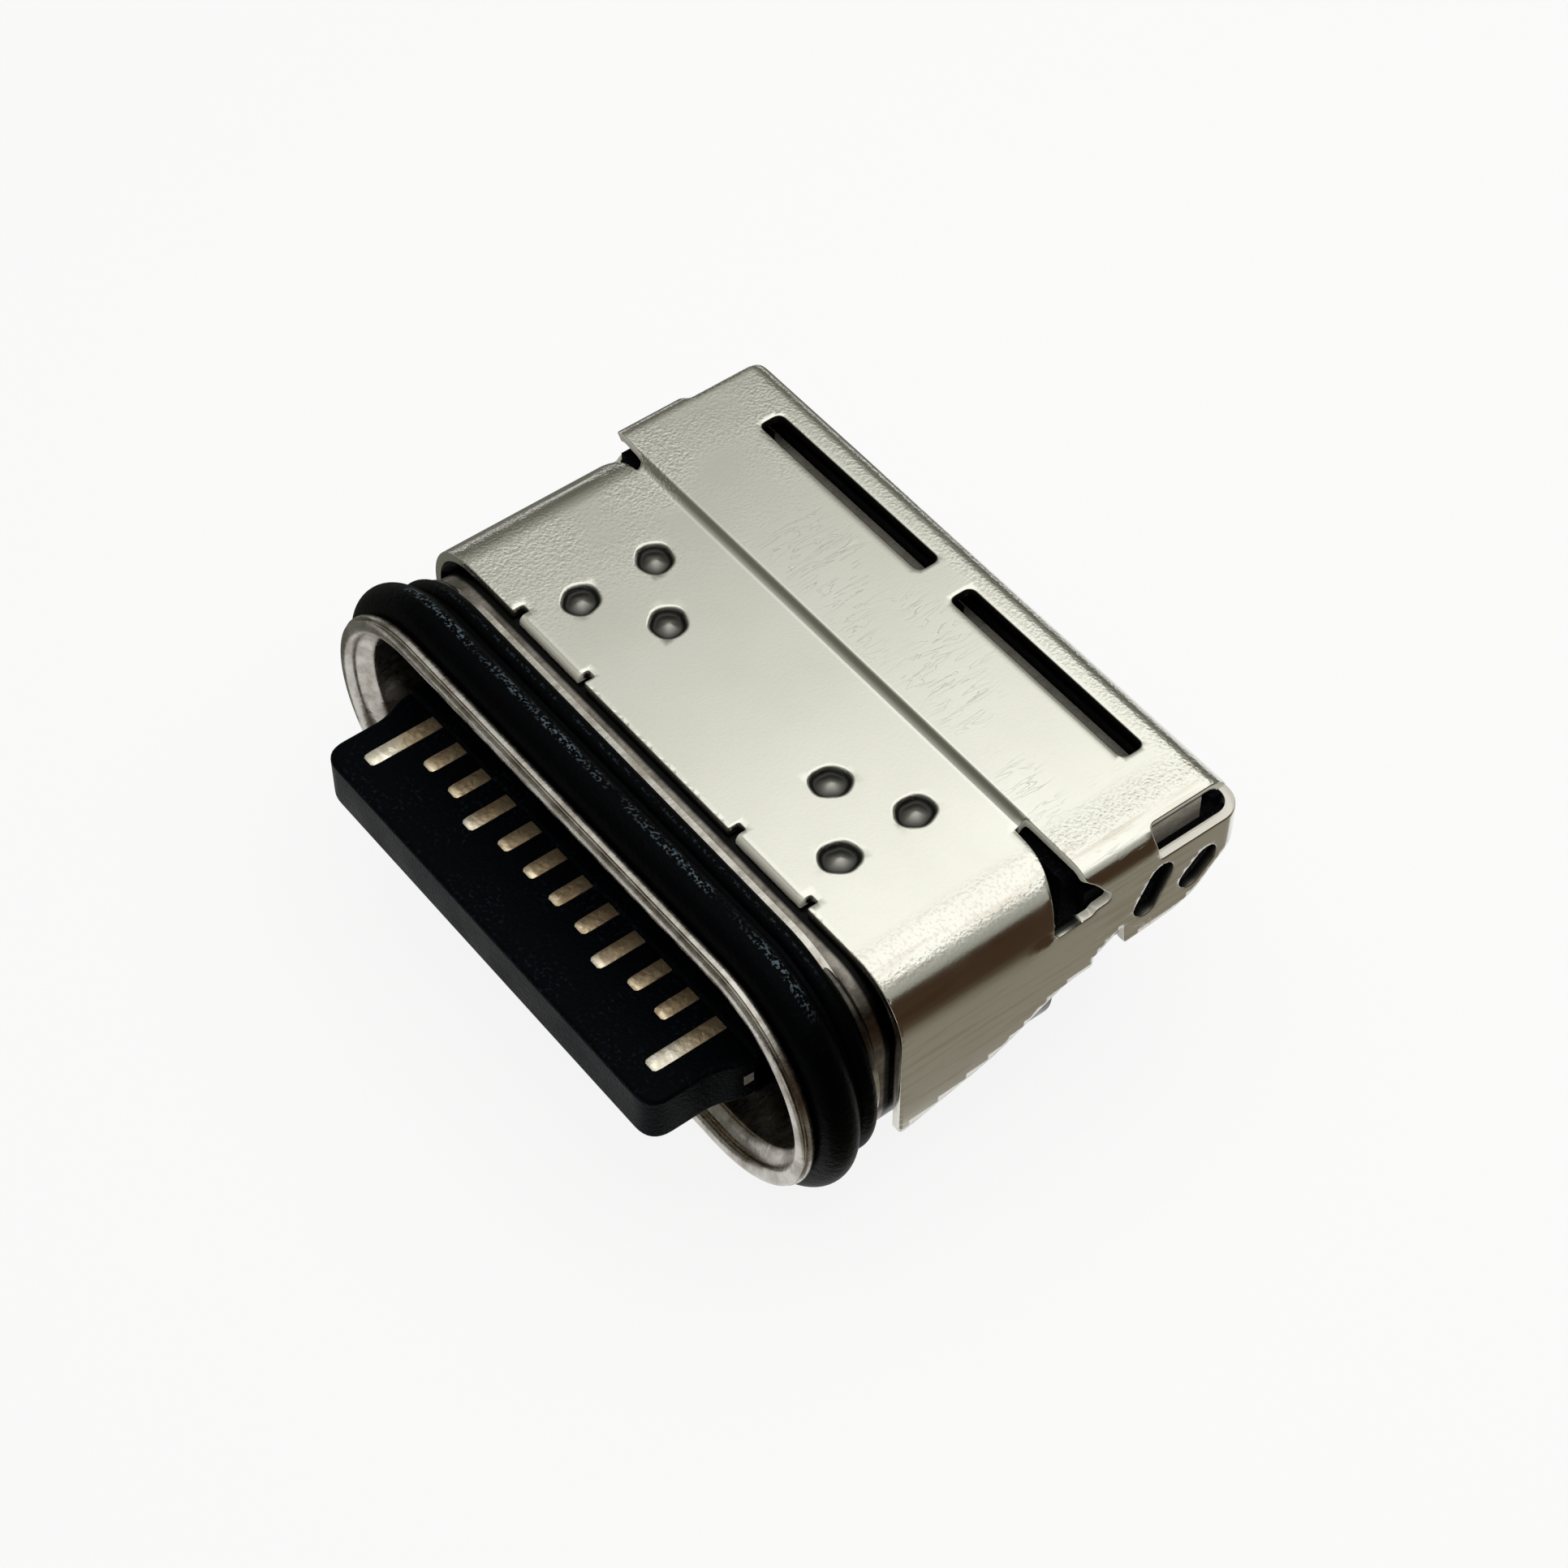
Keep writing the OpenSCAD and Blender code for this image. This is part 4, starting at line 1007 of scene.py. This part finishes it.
def stage():
    """Pale floor, a soft box overhead, cards low on both sides, a fill lamp and a dim world."""
    size = 0.6
    mesh = bpy.data.meshes.new("floor")
    corners = [(-size, -size, 0), (size, -size, 0), (size, size, 0), (-size, size, 0)]
    mesh.from_pydata(corners, [], [(0, 1, 2, 3)])
    mesh.materials.append(paper())
    floor = bpy.data.objects.new("floor", mesh)
    bpy.context.scene.collection.objects.link(floor)
    floor.location.z = cad_low.z - 0.00002
    box = [(0.0, (0.36, 0.36, 0.33)), (0.17, (0.58, 0.58, 0.545)), (0.29, (0.84, 0.84, 0.79)),
           (0.42, (1.36, 1.36, 1.30)), (1.0, (1.38, 1.38, 1.34))]
    card("softbox", (-8, 14, 28), 0, 52, 42, box, True)
    card("card_right", (19, 6, 4.5), 90, 15, 44, [(0.0, (0.05, 0.027, 0.013)), (1.0, (0.06, 0.035, 0.02))])
    near_floor = BOARD_Z + 0.05
    card("card_floor", (12, 6, near_floor), 0, 14, 30, [
        (0.0, (0.29, 0.265, 0.215)), (0.14, (0.27, 0.25, 0.20)), (0.40, (0.10, 0.075, 0.05)),
        (1.0, (0.05, 0.03, 0.015))])
    card("card_left", (-17, 8, near_floor), 0, 24, 40, [
        (0.0, (0.13, 0.13, 0.11)), (1.0, (0.17, 0.17, 0.145))])
    lamp("fill", (13, 14, 29), 22, 30, 0.22)
    world = bpy.data.worlds.new("studio")
    bpy.context.scene.world = world
    world.use_nodes = True
    tree = world.node_tree
    coords = tree.nodes.new("ShaderNodeTexCoord")
    split = tree.nodes.new("ShaderNodeSeparateXYZ")
    ramp = tree.nodes.new("ShaderNodeValToRGB")
    elements = ramp.color_ramp.elements
    elements.new(0.4)
    elements.new(0.6)
    stops = ((0.0, (0.13, 0.13, 0.11)), (0.30, (0.15, 0.15, 0.125)), (0.60, (0.40, 0.40, 0.365)),
             (0.85, (0.60, 0.60, 0.57)))
    for element, (at, colour) in zip(elements, stops):
        element.position, element.color = at, (*colour, 1)
    tree.links.new(coords.outputs["Generated"], split.inputs[0])
    tree.links.new(split.outputs[2], ramp.inputs["Fac"])
    tree.links.new(ramp.outputs["Color"], tree.nodes["Background"].inputs["Color"])
    tree.nodes["Background"].inputs["Strength"].default_value = 1.0


def camera():
    """The photograph's view: 52.2 degrees round to the right and 50.2 degrees up."""
    data = bpy.data.cameras.new("camera")
    data.lens, data.sensor_width = 86.1, 36
    data.clip_start, data.clip_end = 0.002, 2
    obj = bpy.data.objects.new("camera", data)
    bpy.context.scene.collection.objects.link(obj)
    azimuth, elevation = math.radians(52.2), math.radians(50.2)
    back = Vector((math.sin(azimuth) * math.cos(elevation), -math.cos(azimuth) * math.cos(elevation),
                   math.sin(elevation)))
    obj.location = place(22.42, -14.13, 33.67)
    obj.rotation_mode = "QUATERNION"
    obj.rotation_quaternion = (-back).to_track_quat("-Z", "Y")
    bpy.context.scene.camera = obj
    bpy.context.scene.view_settings.view_transform = "Standard"


# --- The whole part -------------------------------------------------------------------------------
def soften(node, material, width=0.02):
    """Keeps a CAD node, with its material and a small bevel on its edges."""
    obj = NODES[node]
    obj.data.materials.clear()
    obj.data.materials.append(material)
    bevel = obj.modifiers.new("edges", "BEVEL")
    bevel.width = width * MM
    bevel.segments = 2
    bevel.limit_method = "ANGLE"
    bevel.angle_limit = math.radians(50)


camera()
stage()

COVER_STEEL = cover_steel()
MOUTH_STEEL = drawn_steel("mouth_steel", (0.56, 0.54, 0.50), (0.34, 0.31, 0.27))
FLANGE_STEEL = drawn_steel("flange_steel", (0.13, 0.12, 0.105), (0.06, 0.055, 0.05))
# The collar gets painted shade from just in front of the cover's front edge backwards.
FRAME_STEEL = drawn_steel("frame_steel", (0.24, 0.22, 0.195), (0.11, 0.10, 0.085), COVER_FRONT - 0.12)
BRACKET_STEEL = drawn_steel("bracket_steel", (0.62, 0.58, 0.52), (0.48, 0.44, 0.38), metallic=0.4)
RUBBER, RESIN, GOLD = seal_rubber(), potting_resin(), contact_gold()
TONGUE_BLACK = black_plastic("tongue_plastic", (0.0015, 0.002, 0.003), 0.34, 0.010)
BLOCK_BLACK = black_plastic("block_plastic", (0.003, 0.003, 0.0035), 0.42, 0.008)
CARRIER_BLACK = black_plastic("carrier_plastic", (0.006, 0.006, 0.007), 0.45, 0.008)

STADIUM = (CORE, 0.0)
FRAME = (INNER_HW - INNER_R, INNER_HH - INNER_R)
mouth = ring("mouth", STADIUM, mouth_profile())
flange = ring("mouth_flange", FRAME, flange_profile())
finish_piece(mouth, MOUTH_STEEL, "mouth_steel", "mouth_shell")
finish_piece(flange, FLANGE_STEEL, "mouth_steel")
finish_piece(ring("seal", STADIUM, seal_profile()), RUBBER, "seal_rubber", "seal_ring")
finish_piece(ring("inner_tube", FRAME, inner_profile()), FRAME_STEEL, "mouth_steel", "inner_shell")
finish_piece(cover_sheet(), COVER_STEEL, "cover_steel", "top_cover")
finish_piece(tongue(), TONGUE_BLACK, "tongue_plastic", "tongue_body")
contacts(GOLD)

soften("rear_bracket", BRACKET_STEEL)
soften("bottom_plate", COVER_STEEL)
soften("latch_plate", BRACKET_STEEL, 0.01)
soften("upper_carrier", CARRIER_BLACK)
soften("lower_carrier", CARRIER_BLACK)
soften("upper_ground_plate", MOUTH_STEEL, 0.01)
soften("lower_ground_plate", MOUTH_STEEL, 0.01)
soften("potting_seal", RESIN)
soften("rear_block", BLOCK_BLACK)
finish_piece(block_sides(), BLOCK_BLACK, "block_plastic")
finish_piece(bracket_lips(), BRACKET_STEEL, "bracket_steel")
